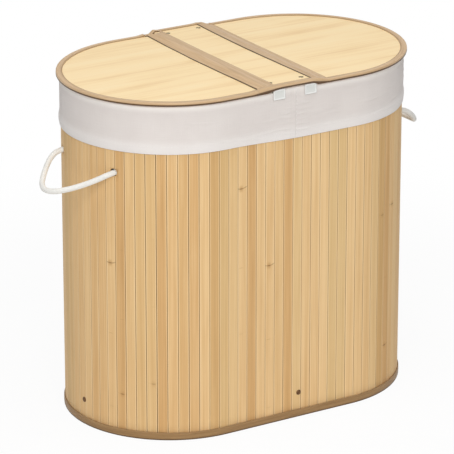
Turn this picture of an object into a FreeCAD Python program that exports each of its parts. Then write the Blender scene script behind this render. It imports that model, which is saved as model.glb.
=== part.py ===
"""Oval two-compartment laundry hamper: a bamboo-slat wall on a plywood base, a cloth liner with
a bag on each side, two rope handles, and two flap lids hinged by tape to a raised middle bridge.

Millimetres, +Z up. The origin is at the middle of the footprint, on the floor. X runs along the
oval, and the front is at -Y.
"""
import FreeCAD, Part
import math
import os
from types import SimpleNamespace

import Sketcher
from FreeCAD import Placement, Rotation, Vector

# ---------------------------------------------------------------- driving dimensions
DIMENSIONS = {
    # oval wall of bamboo slats
    "half_straight": 117.0,        # from the middle to the centre of each round end
    "wall_radius": 170.0,          # outer face of the slats
    "wall_height": 547.8,          # top edge of slats and top hoop
    "slat_width": 15.8,
    "slat_gap": 0.45,
    "slat_wrap": 4.4,              # how far past the end of a straight its last slat reaches
    "slat_thickness": 4.0,
    "slat_chamfer": 0.7,
    "slat_floor_gap": 0.5,         # the slats end just above the floor
    "backing_thickness": 0.7,      # cloth that the slats are glued to
    "glue_gap": 0.1,
    "foot_band_height": 12.5,
    "foot_band_thickness": 1.7,
    "foot_band_gap": 0.2,
    # hoops and base
    "hoop_thickness": 6.0,
    "top_hoop_height": 33.0,
    "base_hoop_height": 36.5,
    "base_board_thickness": 9.0,
    # crossbars under the bridge
    "crossbar_spacing": 57.0,
    "crossbar_width": 20.0,
    "crossbar_drop": 13.0,         # depth of a crossbar below the top edge of the wall
    "crossbar_end_setback": 3.0,   # crossbar end to the outer face of the wall
    # cloth liner
    "cloth_thickness": 1.5,
    "cuff_height": 75.8,
    "cuff_wall_gap": 0.3,
    "bag_knot_gap": 1.7,           # the bag hangs clear of the handles' knots
    "bag_shoulder_gap": 1.8,       # top of the bag's shoulder below the top hoop
    "bag_shoulder_drop": 23.0,
    "bag_floor_gap": 0.2,
    "sleeve_drop": 16.0,           # inner hem of the sleeve round a crossbar
    "bar_slot_gap": 0.4,
    "tab_width": 22.5,
    "tab_length": 18.0,
    "tab_thickness": 1.2,
    "tab_spacing": 58.0,
    "tab_offset": 5.0,             # the tabs are sewn a little right of the bridge's middle
    "tab_top_gap": 0.4,            # tab to the edge binding of the bridge above it
    "patch_thickness": 0.8,
    "patch_margin": 2.0,
    # lids
    "lid_overhang": 8.0,
    "lid_rest_gap": 0.3,
    "board_thickness": 4.0,
    "binding_lip": 1.2,
    "binding_wall": 2.0,
    "binding_width": 14.0,
    "binding_round": 1.8,
    # bridge and tape hinges
    "bridge_half_width": 46.2,
    "bridge_rise": 4.4,            # bridge top above lid tops
    "hinge_gap": 1.3,
    "tape_on_bridge": 12.2,
    "tape_on_lid": 14.5,
    "tape_ramp": 3.0,              # how far onto the lid the tape comes down
    "tape_end_gap": 0.3,           # tape to the lid's own edge binding
    # screws
    "screw_shank": 3.5,
    "screw_head": 8.0,
    "screw_head_height": 2.4,
    "screw_clearance": 1.0,
    "screw_recess": 0.5,
    "bridge_screw_length": 12.0,
    "bridge_screw_setback": 17.0,  # bridge screw to the outer face of the wall
    "bar_screw_length": 30.0,
    "bar_screw_drop": 6.5,
    "base_screw_length": 22.0,
    "base_screw_head": 8.6,
    "base_screw_dome": 1.8,
    "base_screw_offset": 17.2,     # the slat wall is wrapped a little past the middle
    "base_screw_seat_gap": 0.2,
    # rope handles
    "rope_diameter": 8.0,
    "handle_hole": 12.4,
    "handle_height": 436.0,
    "handle_half_angle": 24.0,     # degrees either side of the handle's middle
    "handle_turn": 5.0,            # degrees that the handle sits off the end of the oval
    "knot_lean": 1.0,              # degrees that a knot sits outside its hole
    "knot_width": 20.0,
    "knot_depth": 13.0,
    "knot_gap": 0.4,               # knot to the wall's inner face
}

# Left rope handle, from the knot behind its rear hole to the knot behind its front hole.
HANDLE_ROUTE = [
    (-266.9, 53.6, 436.0),
    (-285.6, 56.6, 435.4),
    (-302.0, 55.0, 426.0),
    (-318.0, 44.0, 417.0),
    (-333.0, 28.0, 409.0),
    (-345.0, 8.0, 403.0),
    (-348.0, -13.0, 401.0),
    (-340.0, -32.0, 404.0),
    (-323.0, -47.0, 411.0),
    (-304.0, -60.0, 419.0),
    (-288.0, -73.0, 427.0),
    (-275.6, -84.0, 434.6),
    (-254.8, -80.7, 436.0),
]
CORNER_SHARE = 0.45                # share of the shorter run that a corner of the rope takes

LEFT, RIGHT = -1, 1
FRONT, BACK = -1, 1
START, END, CENTRE = range(1, 4)   # the sketcher's numbers for an edge's points
ORIGIN = X_AXIS = -START
Y_AXIS = -END
SIDE_WORD = {LEFT: "left", RIGHT: "right"}
FACE_WORD = {FRONT: "front", BACK: "back"}


class Size:
    """A length that knows both its value and the sheet expression that gives it."""

    def __init__(self, text, number):
        self.text = text
        self.number = number

    def _join(self, other, sign, result):
        other_text = other.text if isinstance(other, Size) else repr(other)
        return Size(f"({self.text} {sign} {other_text})", result)

    def __add__(self, other):
        return self._join(other, "+", self.number + number(other))

    def __sub__(self, other):
        return self._join(other, "-", self.number - number(other))

    def __mul__(self, other):
        return self._join(other, "*", self.number * number(other))

    def __truediv__(self, other):
        return self._join(other, "/", self.number / number(other))

    def __neg__(self):
        return self * -1


def number(value):
    return value.number if isinstance(value, Size) else value


def cosine(angle):
    return Size(f"cos({angle.text})", math.cos(math.radians(angle.number)))


def sine(angle):
    return Size(f"sin({angle.text})", math.sin(math.radians(angle.number)))


doc = FreeCAD.newDocument("laundry_hamper")
sheet = doc.addObject("Spreadsheet::Sheet", "size")
for row, (name, value) in enumerate(DIMENSIONS.items(), start=1):
    sheet.set(f"A{row}", name)
    sheet.set(f"B{row}", str(value))
    sheet.setAlias(f"B{row}", name)
doc.recompute()
s = SimpleNamespace(**{name: Size(f"size.{name}", float(getattr(sheet, name))) for name in DIMENSIONS})

# ---------------------------------------------------------------- sizes that follow from them
backing_radius = s.wall_radius - s.slat_thickness - s.glue_gap
hoop_radius = backing_radius - s.backing_thickness - s.glue_gap
hoop_inside = hoop_radius - s.hoop_thickness
base_board_bottom = s.base_hoop_height
base_board_top = base_board_bottom + s.base_board_thickness
fold_top = s.wall_height + s.cloth_thickness
lid_bottom = fold_top + s.lid_rest_gap
binding_height = s.board_thickness + s.binding_lip * 2
lid_top = lid_bottom + binding_height
lid_radius = s.wall_radius + s.lid_overhang
board_radius = lid_radius - s.binding_wall
lid_edge = s.bridge_half_width + s.hinge_gap
tape_lid_end = lid_edge + s.tape_on_lid
tape_bridge_end = s.bridge_half_width - s.tape_on_bridge
bridge_top = lid_top + s.bridge_rise
bridge_board_bottom = bridge_top - s.binding_lip - s.board_thickness
crossbar_top = bridge_board_bottom - s.cloth_thickness
crossbar_bottom = s.wall_height - s.crossbar_drop
crossbar_x = s.crossbar_spacing / 2
bridge_screw_row = s.wall_radius - s.bridge_screw_setback
bar_inner_face = crossbar_x - s.crossbar_width / 2
bar_outer_face = crossbar_x + s.crossbar_width / 2
knot_reach = hoop_radius - s.knot_depth / 2 - s.knot_gap
bag_radius = knot_reach - s.knot_depth / 2 - s.bag_knot_gap
bag_top_radius = hoop_inside
bag_shoulder_high = s.wall_height - s.top_hoop_height - s.bag_shoulder_gap
bag_shoulder_low = bag_shoulder_high - s.bag_shoulder_drop
cuff_radius = s.wall_radius + s.cuff_wall_gap
cuff_outside = cuff_radius + s.cloth_thickness


# ---------------------------------------------------------------- drawing helpers
def bind(thing, **properties):
    """Tie properties of an object to the sheet: bind(pad, Length=s.wall_height)."""
    for path, size in properties.items():
        thing.setExpression(path.replace("__", "."), size.text)


def place(thing, x=None, y=None, z=None):
    """Tie the position of an object to the sheet."""
    for axis, size in (("x", x), ("y", y), ("z", z)):
        if size is not None:
            thing.setExpression(f"Placement.Base.{axis}", size.text)
    return thing


def new_body(name):
    body = doc.addObject("PartDesign::Body", name)
    body.AllowCompound = True
    return body


def origin_feature(body, role):
    return next(feature for feature in body.Origin.OriginFeatures if feature.Role == role)


def new_sketch(body, name, plane="XY_Plane", offset=None):
    """A sketch on one of the body's planes, moved along the plane's normal by offset."""
    sketch = body.newObject("Sketcher::SketchObject", name)
    sketch.AttachmentSupport = [(origin_feature(body, plane), "")]
    sketch.MapMode = "FlatFace"
    if offset is not None:
        sketch.setExpression("AttachmentOffset.Base.z", offset.text)
    return sketch


def hold(sketch, kind, edge, point, size):
    """Hold a point of an edge at a distance from the origin, or on the axis where it is zero."""
    if number(size) == 0:
        axis = Y_AXIS if kind == "DistanceX" else X_AXIS
        sketch.addConstraint(Sketcher.Constraint("PointOnObject", edge, point, axis))
        return
    index = sketch.addConstraint(Sketcher.Constraint(kind, ORIGIN, START, edge, point, number(size)))
    if isinstance(size, Size):
        sketch.setExpression(f"Constraints[{index}]", size.text)


def radius_of(sketch, edge, size):
    index = sketch.addConstraint(Sketcher.Constraint("Radius", edge, number(size)))
    sketch.setExpression(f"Constraints[{index}]", size.text)


def add_line(sketch, start, end):
    return sketch.addGeometry(Part.LineSegment(Vector(*start, 0), Vector(*end, 0)), False)


def polygon(sketch, corners):
    """A closed outline whose corners are each held by their two coordinates."""
    points = [(number(x), number(y)) for x, y in corners]
    edges = [add_line(sketch, a, b) for a, b in zip(points, points[1:] + points[:1])]
    for edge, following in zip(edges, edges[1:] + edges[:1]):
        sketch.addConstraint(Sketcher.Constraint("Coincident", edge, END, following, START))
    for edge, (x, y) in zip(edges, corners):
        hold(sketch, "DistanceX", edge, START, x)
        hold(sketch, "DistanceY", edge, START, y)


def round_end(sketch, side, centre, radius):
    """A half circle at one end of the oval. Gives the edge and its front and back points."""
    turn = 0 if side == RIGHT else math.pi
    circle = Part.Circle(Vector(side * number(centre), 0, 0), Vector(0, 0, 1), number(radius))
    arc = Part.ArcOfCircle(circle, turn - math.pi / 2, turn + math.pi / 2)
    edge = sketch.addGeometry(arc, False)
    return (edge, START, END) if side == RIGHT else (edge, END, START)


def join_tangent(sketch, line, line_point, arc, arc_point):
    sketch.addConstraint(Sketcher.Constraint("Tangent", line, line_point, arc, arc_point))


def oval(sketch, radius):
    """A closed outline of two half circles joined by straight sides."""
    c, r = s.half_straight.number, radius.number
    right, right_front, right_back = round_end(sketch, RIGHT, s.half_straight, radius)
    left, left_front, left_back = round_end(sketch, LEFT, s.half_straight, radius)
    front = add_line(sketch, (-c, -r), (c, -r))
    back = add_line(sketch, (c, r), (-c, r))
    join_tangent(sketch, front, END, right, right_front)
    join_tangent(sketch, back, START, right, right_back)
    join_tangent(sketch, back, END, left, left_back)
    join_tangent(sketch, front, START, left, left_front)
    hold(sketch, "DistanceX", right, CENTRE, s.half_straight)
    hold(sketch, "DistanceX", left, CENTRE, -s.half_straight)
    hold(sketch, "DistanceY", right, CENTRE, 0)
    hold(sketch, "DistanceY", left, CENTRE, 0)
    radius_of(sketch, right, radius)


def half_oval_side(sketch, side, start_x, radius):
    """Front line, round end and back line of one half of the oval, as an open outline."""
    c, r, x = side * s.half_straight.number, radius.number, side * start_x.number
    arc, arc_front, arc_back = round_end(sketch, side, s.half_straight, radius)
    front = add_line(sketch, (x, -r), (c, -r))
    back = add_line(sketch, (c, r), (x, r))
    join_tangent(sketch, front, END, arc, arc_front)
    join_tangent(sketch, back, START, arc, arc_back)
    sketch.addConstraint(Sketcher.Constraint("Horizontal", front))
    sketch.addConstraint(Sketcher.Constraint("Horizontal", back))
    hold(sketch, "DistanceY", arc, CENTRE, 0)
    radius_of(sketch, arc, radius)
    hold(sketch, "DistanceX", front, START, start_x * side)
    return arc, front, back


def half_oval(sketch, side, start_x, radius):
    """A closed outline of one half of the oval, cut off straight at start_x."""
    arc, front, back = half_oval_side(sketch, side, start_x, radius)
    x, r = side * start_x.number, radius.number
    flat = add_line(sketch, (x, r), (x, -r))
    sketch.addConstraint(Sketcher.Constraint("Coincident", back, END, flat, START))
    sketch.addConstraint(Sketcher.Constraint("Coincident", flat, END, front, START))
    sketch.addConstraint(Sketcher.Constraint("Vertical", flat))
    hold(sketch, "DistanceX", arc, CENTRE, s.half_straight * side)


def half_oval_ring(sketch, side, start_x, outer, inner):
    """A closed outline of a strip that follows one half of the oval."""
    outer_arc, outer_front, outer_back = half_oval_side(sketch, side, start_x, outer)
    inner_arc, inner_front, inner_back = half_oval_side(sketch, side, start_x, inner)
    x = side * start_x.number
    front_end = add_line(sketch, (x, -outer.number), (x, -inner.number))
    back_end = add_line(sketch, (x, inner.number), (x, outer.number))
    for outer_edge, inner_edge, end_edge, point in (
        (outer_front, inner_front, front_end, START),
        (outer_back, inner_back, back_end, END),
    ):
        outer_point, inner_point = (START, END) if point == START else (END, START)
        sketch.addConstraint(Sketcher.Constraint("Coincident", end_edge, outer_point, outer_edge, point))
        sketch.addConstraint(Sketcher.Constraint("Coincident", end_edge, inner_point, inner_edge, point))
    sketch.addConstraint(Sketcher.Constraint("Vertical", back_end))
    hold(sketch, "DistanceX", outer_back, END, start_x * side)
    hold(sketch, "DistanceX", outer_arc, CENTRE, s.half_straight * side)
    hold(sketch, "DistanceX", inner_arc, CENTRE, s.half_straight * side)


def pad(body, sketch, length, name="pad"):
    feature = body.newObject("PartDesign::Pad", f"{body.Name}_{name}")
    feature.Profile = sketch
    bind(feature, Length=length)
    body.Tip = feature
    return feature


def oval_ring(name, outer, inner, bottom, height):
    """An upright ring that follows the whole oval."""
    body = new_body(name)
    sketch = new_sketch(body, f"{name}_outline", offset=bottom)
    oval(sketch, outer)
    oval(sketch, inner)
    pad(body, sketch, height)
    return body


def oval_board(name, radius, bottom, thickness):
    body = new_body(name)
    sketch = new_sketch(body, f"{name}_outline", offset=bottom)
    oval(sketch, radius)
    pad(body, sketch, thickness)
    return body


def mirrored(side, low, high):
    """The pair (low, high) on the positive side, or its mirror image on the negative one."""
    return (low, high) if side > 0 else (-high, -low)


def box(name, x, y, z):
    """A box from three (low, high) pairs."""
    block = doc.addObject("Part::Box", name)
    for path, (low, high) in (("Length", x), ("Width", y), ("Height", z)):
        bind(block, **{path: high - low})
    return place(block, x[0], y[0], z[0])


def cut(name, base, tools):
    result = doc.addObject("Part::Cut", name)
    result.Base = base
    result.Tool = tools[0] if len(tools) == 1 else gather(f"{name}_tools", tools)
    return result


def join(name, pieces):
    result = doc.addObject("Part::MultiFuse", name)
    result.Shapes = pieces
    return result


def gather(name, pieces):
    """Keep separate solids together as one sub-part."""
    result = doc.addObject("Part::Compound", name)
    result.Links = pieces
    return result


def rod(name, diameter, length):
    """A round bar along +Z from its own origin."""
    bar = doc.addObject("Part::Cylinder", name)
    bind(bar, Radius=diameter / 2, Height=length)
    return bar


def aim(thing, direction):
    """Turn an object so that its own +Z points in a direction."""
    thing.Placement = Placement(thing.Placement.Base, Rotation(Vector(0, 0, 1), Vector(*direction)))
    return thing


# ---------------------------------------------------------------- screws and their holes
def countersunk_screw(name, length):
    """Flat head at the origin, shank down -Z."""
    head = doc.addObject("Part::Cone", f"{name}_head")
    bind(head, Radius1=s.screw_shank / 2, Radius2=s.screw_head / 2, Height=s.screw_head_height)
    place(head, z=-s.screw_head_height)
    shank = place(rod(f"{name}_shank", s.screw_shank, length), z=-length)
    return join(name, [head, shank])


def countersink(name, depth):
    """The room a countersunk screw needs down -Z, and the clear space above its head."""
    sink = doc.addObject("Part::Cone", f"{name}_sink")
    bind(sink, Radius1=s.screw_shank / 2, Radius2=s.screw_head / 2, Height=s.screw_head_height)
    place(sink, z=-s.screw_head_height)
    mouth = rod(f"{name}_mouth", s.screw_head, s.screw_recess * 2)
    shaft = place(rod(f"{name}_shaft", s.screw_shank, depth), z=-depth)
    return join(name, [sink, mouth, shaft])


def domed_screw(name, length):
    """Low domed head standing on the origin, shank down -Z."""
    head = doc.addObject("Part::Cone", f"{name}_head")
    bind(head, Radius1=s.base_screw_head / 2, Radius2=s.base_screw_head / 3, Height=s.base_screw_dome)
    shank = place(rod(f"{name}_shank", s.screw_shank, length), z=-length)
    return join(name, [head, shank])


zero = Size("0", 0.0)
bar_screw_height = s.wall_height - s.bar_screw_drop
base_screw_height = base_board_bottom + s.base_board_thickness / 2
wrap_angle = s.base_screw_offset / s.wall_radius * math.degrees(1)

# where each wall screw's head sits, and the way its head faces
bar_screw_places = [
    (side, face, crossbar_x * side, (s.wall_radius - s.screw_recess) * face, (0, face, 0))
    for side in (LEFT, RIGHT) for face in (FRONT, BACK)
]
base_screw_seat = s.wall_radius + s.base_screw_seat_gap
end_screw_x = s.half_straight + base_screw_seat * cosine(wrap_angle)
end_screw_y = base_screw_seat * sine(wrap_angle)
end_facing = (cosine(wrap_angle).number, sine(wrap_angle).number, 0)
base_screw_places = [
    ("front", s.base_screw_offset, -base_screw_seat, (0, FRONT, 0)),
    ("back", -s.base_screw_offset, base_screw_seat, (0, BACK, 0)),
    ("left", -end_screw_x, -end_screw_y, (-end_facing[0], -end_facing[1], 0)),
    ("right", end_screw_x, end_screw_y, end_facing),
]

bar_screws, bar_screw_holes = [], {FRONT: [], BACK: []}
for side, face, x, y, facing in bar_screw_places:
    name = f"bar_screw_{SIDE_WORD[side]}_{FACE_WORD[face]}"
    bar_screws.append(place(aim(countersunk_screw(name, s.bar_screw_length), facing), x, y, bar_screw_height))
    hole = countersink(f"{name}_hole", s.bar_screw_length)
    bar_screw_holes[face].append(place(aim(hole, facing), x, y, bar_screw_height))

base_screws, base_screw_holes = [], {}
for word, x, y, facing in base_screw_places:
    name = f"base_screw_{word}"
    screw = aim(domed_screw(name, s.base_screw_length), facing)
    base_screws.append(place(screw, x, y, base_screw_height))
    hole = rod(f"{name}_hole", s.screw_shank + s.screw_clearance, s.slat_thickness * 2)
    inward = (-facing[0], -facing[1], 0)
    base_screw_holes[word] = place(aim(hole, inward), x, y, base_screw_height)

# ---------------------------------------------------------------- holes for the rope handles
handle_holes = {}
for side in (LEFT, RIGHT):
    handle_holes[side] = []
    for face in (FRONT, BACK):
        angle = s.handle_half_angle * face + s.handle_turn * side
        start = s.wall_radius + s.slat_thickness
        hole = rod(f"handle_hole_{SIDE_WORD[side]}_{FACE_WORD[face]}", s.handle_hole, s.slat_thickness * 4)
        aim(hole, (-side * cosine(angle).number, -sine(angle).number, 0))
        hole_x = (s.half_straight + start * cosine(angle)) * side
        handle_holes[side].append(place(hole, hole_x, start * sine(angle), s.handle_height))

# ---------------------------------------------------------------- bamboo wall
slat_height = s.wall_height - s.slat_floor_gap
slat_room = s.slat_width.number + s.slat_gap.number
straight_count = int(2 * s.half_straight.number / slat_room + 0.001)
end_count = int(math.pi * (s.wall_radius.number - s.slat_thickness.number) / slat_room + 0.001)
straight_pitch = s.half_straight * 2 / straight_count
end_step = 180 / end_count
wrap_turn = (s.slat_wrap / s.wall_radius * math.degrees(1)).number


def slat_outline(sketch, x, direction):
    """Cross-section of one slat: flat back, outer corners eased."""
    half, face = s.slat_width / 2, s.wall_radius
    back = face - s.slat_thickness
    shoulder = face - s.slat_chamfer
    corners = [
        (x - half, back), (x + half, back), (x + half, shoulder),
        (x + half - s.slat_chamfer, face), (x - half + s.slat_chamfer, face), (x - half, shoulder),
    ]
    polygon(sketch, [(across, out * direction) for across, out in corners])


def straight_slats(name, face):
    body = new_body(f"{name}_row")
    sketch = new_sketch(body, f"{name}_outline", offset=s.slat_floor_gap)
    slat_outline(sketch, straight_pitch / 2 - s.half_straight - s.slat_wrap * face, face)
    slat = pad(body, sketch, slat_height)
    row = body.newObject("PartDesign::LinearPattern", f"{name}_pattern")
    row.Originals = [slat]
    row.Direction = (sketch, ["H_Axis"])
    bind(row, Length=straight_pitch * (straight_count - 1))
    row.Occurrences = straight_count
    body.Tip = row
    return body


def end_slats(name, side):
    body = new_body(f"{name}_row")
    sketch = new_sketch(body, f"{name}_outline", offset=s.slat_floor_gap)
    slat_outline(sketch, zero, 1)
    slat = pad(body, sketch, slat_height)
    row = body.newObject("PartDesign::PolarPattern", f"{name}_pattern")
    row.Originals = [slat]
    row.Axis = (origin_feature(body, "Z_Axis"), [""])
    row.Angle = 180 - end_step
    row.Occurrences = end_count
    body.Tip = row
    turn = end_step / 2 + wrap_turn if side == LEFT else end_step / 2 + wrap_turn + 180
    body.Placement = Placement(Vector(0, 0, 0), Rotation(Vector(0, 0, 1), turn))
    return place(body, x=s.half_straight * side)


for face, word in FACE_WORD.items():
    cut(f"{word}_slats", straight_slats(word, face), bar_screw_holes[face] + [base_screw_holes[word]])
for side, word in SIDE_WORD.items():
    cut(f"{word}_end_slats", end_slats(f"{word}_end", side), handle_holes[side] + [base_screw_holes[word]])

all_wall_holes = handle_holes[LEFT] + handle_holes[RIGHT] + list(base_screw_holes.values())
all_wall_holes += bar_screw_holes[FRONT] + bar_screw_holes[BACK]
backing = oval_ring("backing_ring", backing_radius, backing_radius - s.backing_thickness,
                    s.slat_floor_gap, slat_height)
cut("slat_backing", backing, all_wall_holes)
foot_band_inside = s.wall_radius + s.foot_band_gap
oval_ring("foot_band", foot_band_inside + s.foot_band_thickness, foot_band_inside, zero, s.foot_band_height)

# ---------------------------------------------------------------- hoops, base and crossbars
oval_ring("base_hoop", hoop_radius, hoop_inside, zero, s.base_hoop_height)
base_blank = oval_board("base_blank", hoop_radius, base_board_bottom, s.base_board_thickness)
cut("base_board", base_blank, [gather("base_screws", base_screws)])
top_ring = oval_ring("top_hoop_ring", hoop_radius, hoop_inside, s.wall_height - s.top_hoop_height,
                     s.top_hoop_height)
cut("top_hoop", top_ring, bar_screw_holes[FRONT] + bar_screw_holes[BACK])
crossbar_screws = gather("crossbar_screws", bar_screws)

# countersunk screws down through the bridge into the crossbars
bridge_screw_list, bridge_holes = [], []
head_height = bridge_board_bottom + s.board_thickness - s.screw_recess
for side in (LEFT, RIGHT):
    for face in (FRONT, BACK):
        name = f"bridge_screw_{SIDE_WORD[side]}_{FACE_WORD[face]}"
        x, y = crossbar_x * side, bridge_screw_row * face
        screw = countersunk_screw(name, s.bridge_screw_length)
        bridge_screw_list.append(place(screw, x, y, head_height))
        hole = countersink(f"{name}_hole", s.bridge_screw_length)
        bridge_holes.append(place(hole, x, y, head_height))
bridge_screws = gather("bridge_screws", bridge_screw_list)

bar_reach = s.wall_radius - s.crossbar_end_setback
for side, word in SIDE_WORD.items():
    low_x = crossbar_x * side - s.crossbar_width / 2
    x = (low_x, low_x + s.crossbar_width)
    span = box(f"{word}_bar_span", x, (-hoop_inside, hoop_inside), (crossbar_bottom, crossbar_top))
    seat = box(f"{word}_bar_seat", x, (-bar_reach, bar_reach), (s.wall_height, crossbar_top))
    bar = join(f"{word}_bar_blank", [span, seat])
    cut(f"{word}_crossbar", bar, [bridge_screws, crossbar_screws])


# ---------------------------------------------------------------- liner
def bag_side_outline(sketch):
    """Wall of a bag, seen end-on at the front: down from the hoop, in at the shoulder, down."""
    t = s.cloth_thickness
    low, high = base_board_top + s.bag_floor_gap, s.wall_height
    outer = [(bag_radius, low), (bag_radius, bag_shoulder_low),
             (bag_top_radius, bag_shoulder_high), (bag_top_radius, high)]
    inner = [(bag_top_radius - t, high), (bag_top_radius - t, bag_shoulder_high),
             (bag_radius - t, bag_shoulder_low), (bag_radius - t, low)]
    polygon(sketch, [(-y, z) for y, z in outer + inner])


def bag_side(name, side):
    body = new_body(name)
    spine = new_sketch(body, f"{name}_path")
    arc, front, back = half_oval_side(spine, side, bar_inner_face, bag_radius)
    hold(spine, "DistanceX", arc, CENTRE, s.half_straight * side)
    hold(spine, "DistanceX", back, END, bar_inner_face * side)
    section = new_sketch(body, f"{name}_section", "YZ_Plane", bar_inner_face * side)
    bag_side_outline(section)
    pipe = body.newObject("PartDesign::AdditivePipe", f"{name}_pipe")
    pipe.Profile = section
    pipe.Spine = (spine, ["Edge2", "Edge1", "Edge3"])
    pipe.Mode = "Frenet"
    body.Tip = pipe
    return body


def bag_divider(name, side):
    """Flat middle panel of a bag, with the sleeve that hangs it from its crossbar."""
    t = s.cloth_thickness
    low = base_board_top + s.bag_floor_gap
    lower, upper = bag_radius - t, bag_top_radius - t
    panel_x = mirrored(side, bar_inner_face - t, bar_inner_face)
    body = new_body(f"{name}_panel")
    sketch = new_sketch(body, f"{name}_outline", "YZ_Plane", panel_x[0])
    back = [(lower, low), (lower, bag_shoulder_low), (upper, bag_shoulder_high),
            (upper, bridge_board_bottom)]
    front = [(-y, z) for y, z in reversed(back)]
    polygon(sketch, back + front)
    pad(body, sketch, t)
    over_x = mirrored(side, bar_inner_face - t, bar_outer_face + t)
    over = box(f"{name}_over", over_x, (-upper, upper), (crossbar_top, bridge_board_bottom))
    flap_x = mirrored(side, bar_outer_face, bar_outer_face + t)
    flap_z = (crossbar_bottom - s.sleeve_drop, bridge_board_bottom)
    flap = box(f"{name}_flap", flap_x, (-upper, upper), flap_z)
    cut(name, join(f"{name}_sewn", [body, over, flap]), [bridge_screws])


def bag_floor(name, side):
    body = new_body(name)
    sketch = new_sketch(body, f"{name}_outline", offset=base_board_top + s.bag_floor_gap)
    half_oval(sketch, side, bar_inner_face, bag_radius - s.cloth_thickness)
    pad(body, sketch, s.cloth_thickness)
    return body


bar_half = s.crossbar_width / 2 + s.bar_slot_gap
for side, word in SIDE_WORD.items():
    slot_x = (crossbar_x * side - bar_half, crossbar_x * side + bar_half)
    slot_z = (crossbar_bottom - s.bar_slot_gap, lid_top)
    slot = box(f"{word}_bar_slot", slot_x, (-s.wall_radius, s.wall_radius), slot_z)
    cut(f"{word}_bag_side", bag_side(f"{word}_bag_wall", side), [slot])
    bag_divider(f"{word}_bag_divider", side)
    bag_floor(f"{word}_bag_floor", side)

cuff = oval_ring("cuff_ring", cuff_outside, cuff_radius, fold_top - s.cuff_height - s.cloth_thickness,
                 s.cuff_height + s.cloth_thickness)
fold_sketch = new_sketch(cuff, "cuff_fold_outline", offset=s.wall_height)
oval(fold_sketch, cuff_outside)
oval(fold_sketch, bag_top_radius - s.cloth_thickness)
pad(cuff, fold_sketch, s.cloth_thickness, "fold")
bar_end = bar_reach + s.bar_slot_gap
cuff_slots = []
for side, word in SIDE_WORD.items():
    slot_x = (crossbar_x * side - bar_half, crossbar_x * side + bar_half)
    slot_z = (s.wall_height - s.cloth_thickness, lid_top)
    cuff_slots.append(box(f"{word}_cuff_slot", slot_x, (-bar_end, bar_end), slot_z))
cut("liner_cuff", cuff, cuff_slots)

tab_top = bridge_top - binding_height - s.tab_top_gap
tab_low = tab_top - s.tab_length
patch_out = cuff_outside + s.patch_thickness
patch_z = (tab_low + s.patch_margin, fold_top - s.patch_margin)
patches = []
for face, word in FACE_WORD.items():
    tabs = []
    for side in (LEFT, RIGHT):
        centre = s.tab_spacing / 2 * side - s.tab_offset * face
        half = s.tab_width / 2
        tab_x = (centre - half, centre + half)
        patch_x = (tab_x[0] + s.patch_margin, tab_x[1] - s.patch_margin)
        patches.append(box(f"{word}_patch", patch_x, mirrored(face, cuff_outside, patch_out), patch_z))
        tab_y = mirrored(face, patch_out, patch_out + s.tab_thickness)
        tabs.append(box(f"{word}_tab", tab_x, tab_y, (tab_low, tab_top)))
    gather(f"{word}_tabs", tabs)
gather("tab_fasteners", patches)


# ---------------------------------------------------------------- lids
def outer_rim(shape):
    """Names of the long edges round the outside of an edge binding, above and below."""
    names = []
    for index, edge in enumerate(shape.Edges, start=1):
        middle = edge.valueAt((edge.FirstParameter + edge.LastParameter) / 2)
        beyond = max(abs(middle.x) - s.half_straight.number, 0)
        level = len({round(vertex.Z, 3) for vertex in edge.Vertexes}) == 1
        on_outside = math.hypot(beyond, middle.y) > board_radius.number
        if level and on_outside and edge.Length > s.binding_width.number * 1.5:
            names.append(f"Edge{index}")
    return names


for side, word in SIDE_WORD.items():
    board = new_body(f"{word}_lid_board")
    sketch = new_sketch(board, f"{word}_lid_outline", offset=lid_bottom + s.binding_lip)
    half_oval(sketch, side, lid_edge, board_radius)
    pad(board, sketch, s.board_thickness)

    ring = new_body(f"{word}_binding_ring")
    sketch = new_sketch(ring, f"{word}_binding_outline", offset=lid_bottom)
    half_oval_ring(sketch, side, tape_lid_end + s.tape_end_gap, lid_radius, lid_radius - s.binding_width)
    solid = pad(ring, sketch, binding_height)
    doc.recompute()
    rounding = ring.newObject("PartDesign::Fillet", f"{word}_binding_round")
    rounding.Base = (solid, outer_rim(solid.Shape))
    bind(rounding, Radius=s.binding_round)
    ring.Tip = rounding
    cut(f"{word}_lid_binding", ring, [board])

# ---------------------------------------------------------------- bridge
bridge_blank = box("bridge_blank", (-s.bridge_half_width, s.bridge_half_width), (-board_radius, board_radius),
                   (bridge_board_bottom, bridge_board_bottom + s.board_thickness))
cut("bridge_board", bridge_blank, bridge_holes)
binding_z = (bridge_top - binding_height, bridge_top)
binding_x = (-tape_bridge_end, tape_bridge_end)
for face, word in FACE_WORD.items():
    binding_y = mirrored(face, lid_radius - s.binding_width, lid_radius)
    block = box(f"bridge_{word}_block", binding_x, binding_y, binding_z)
    cut(f"bridge_{word}_binding", block, [bridge_blank])


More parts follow.
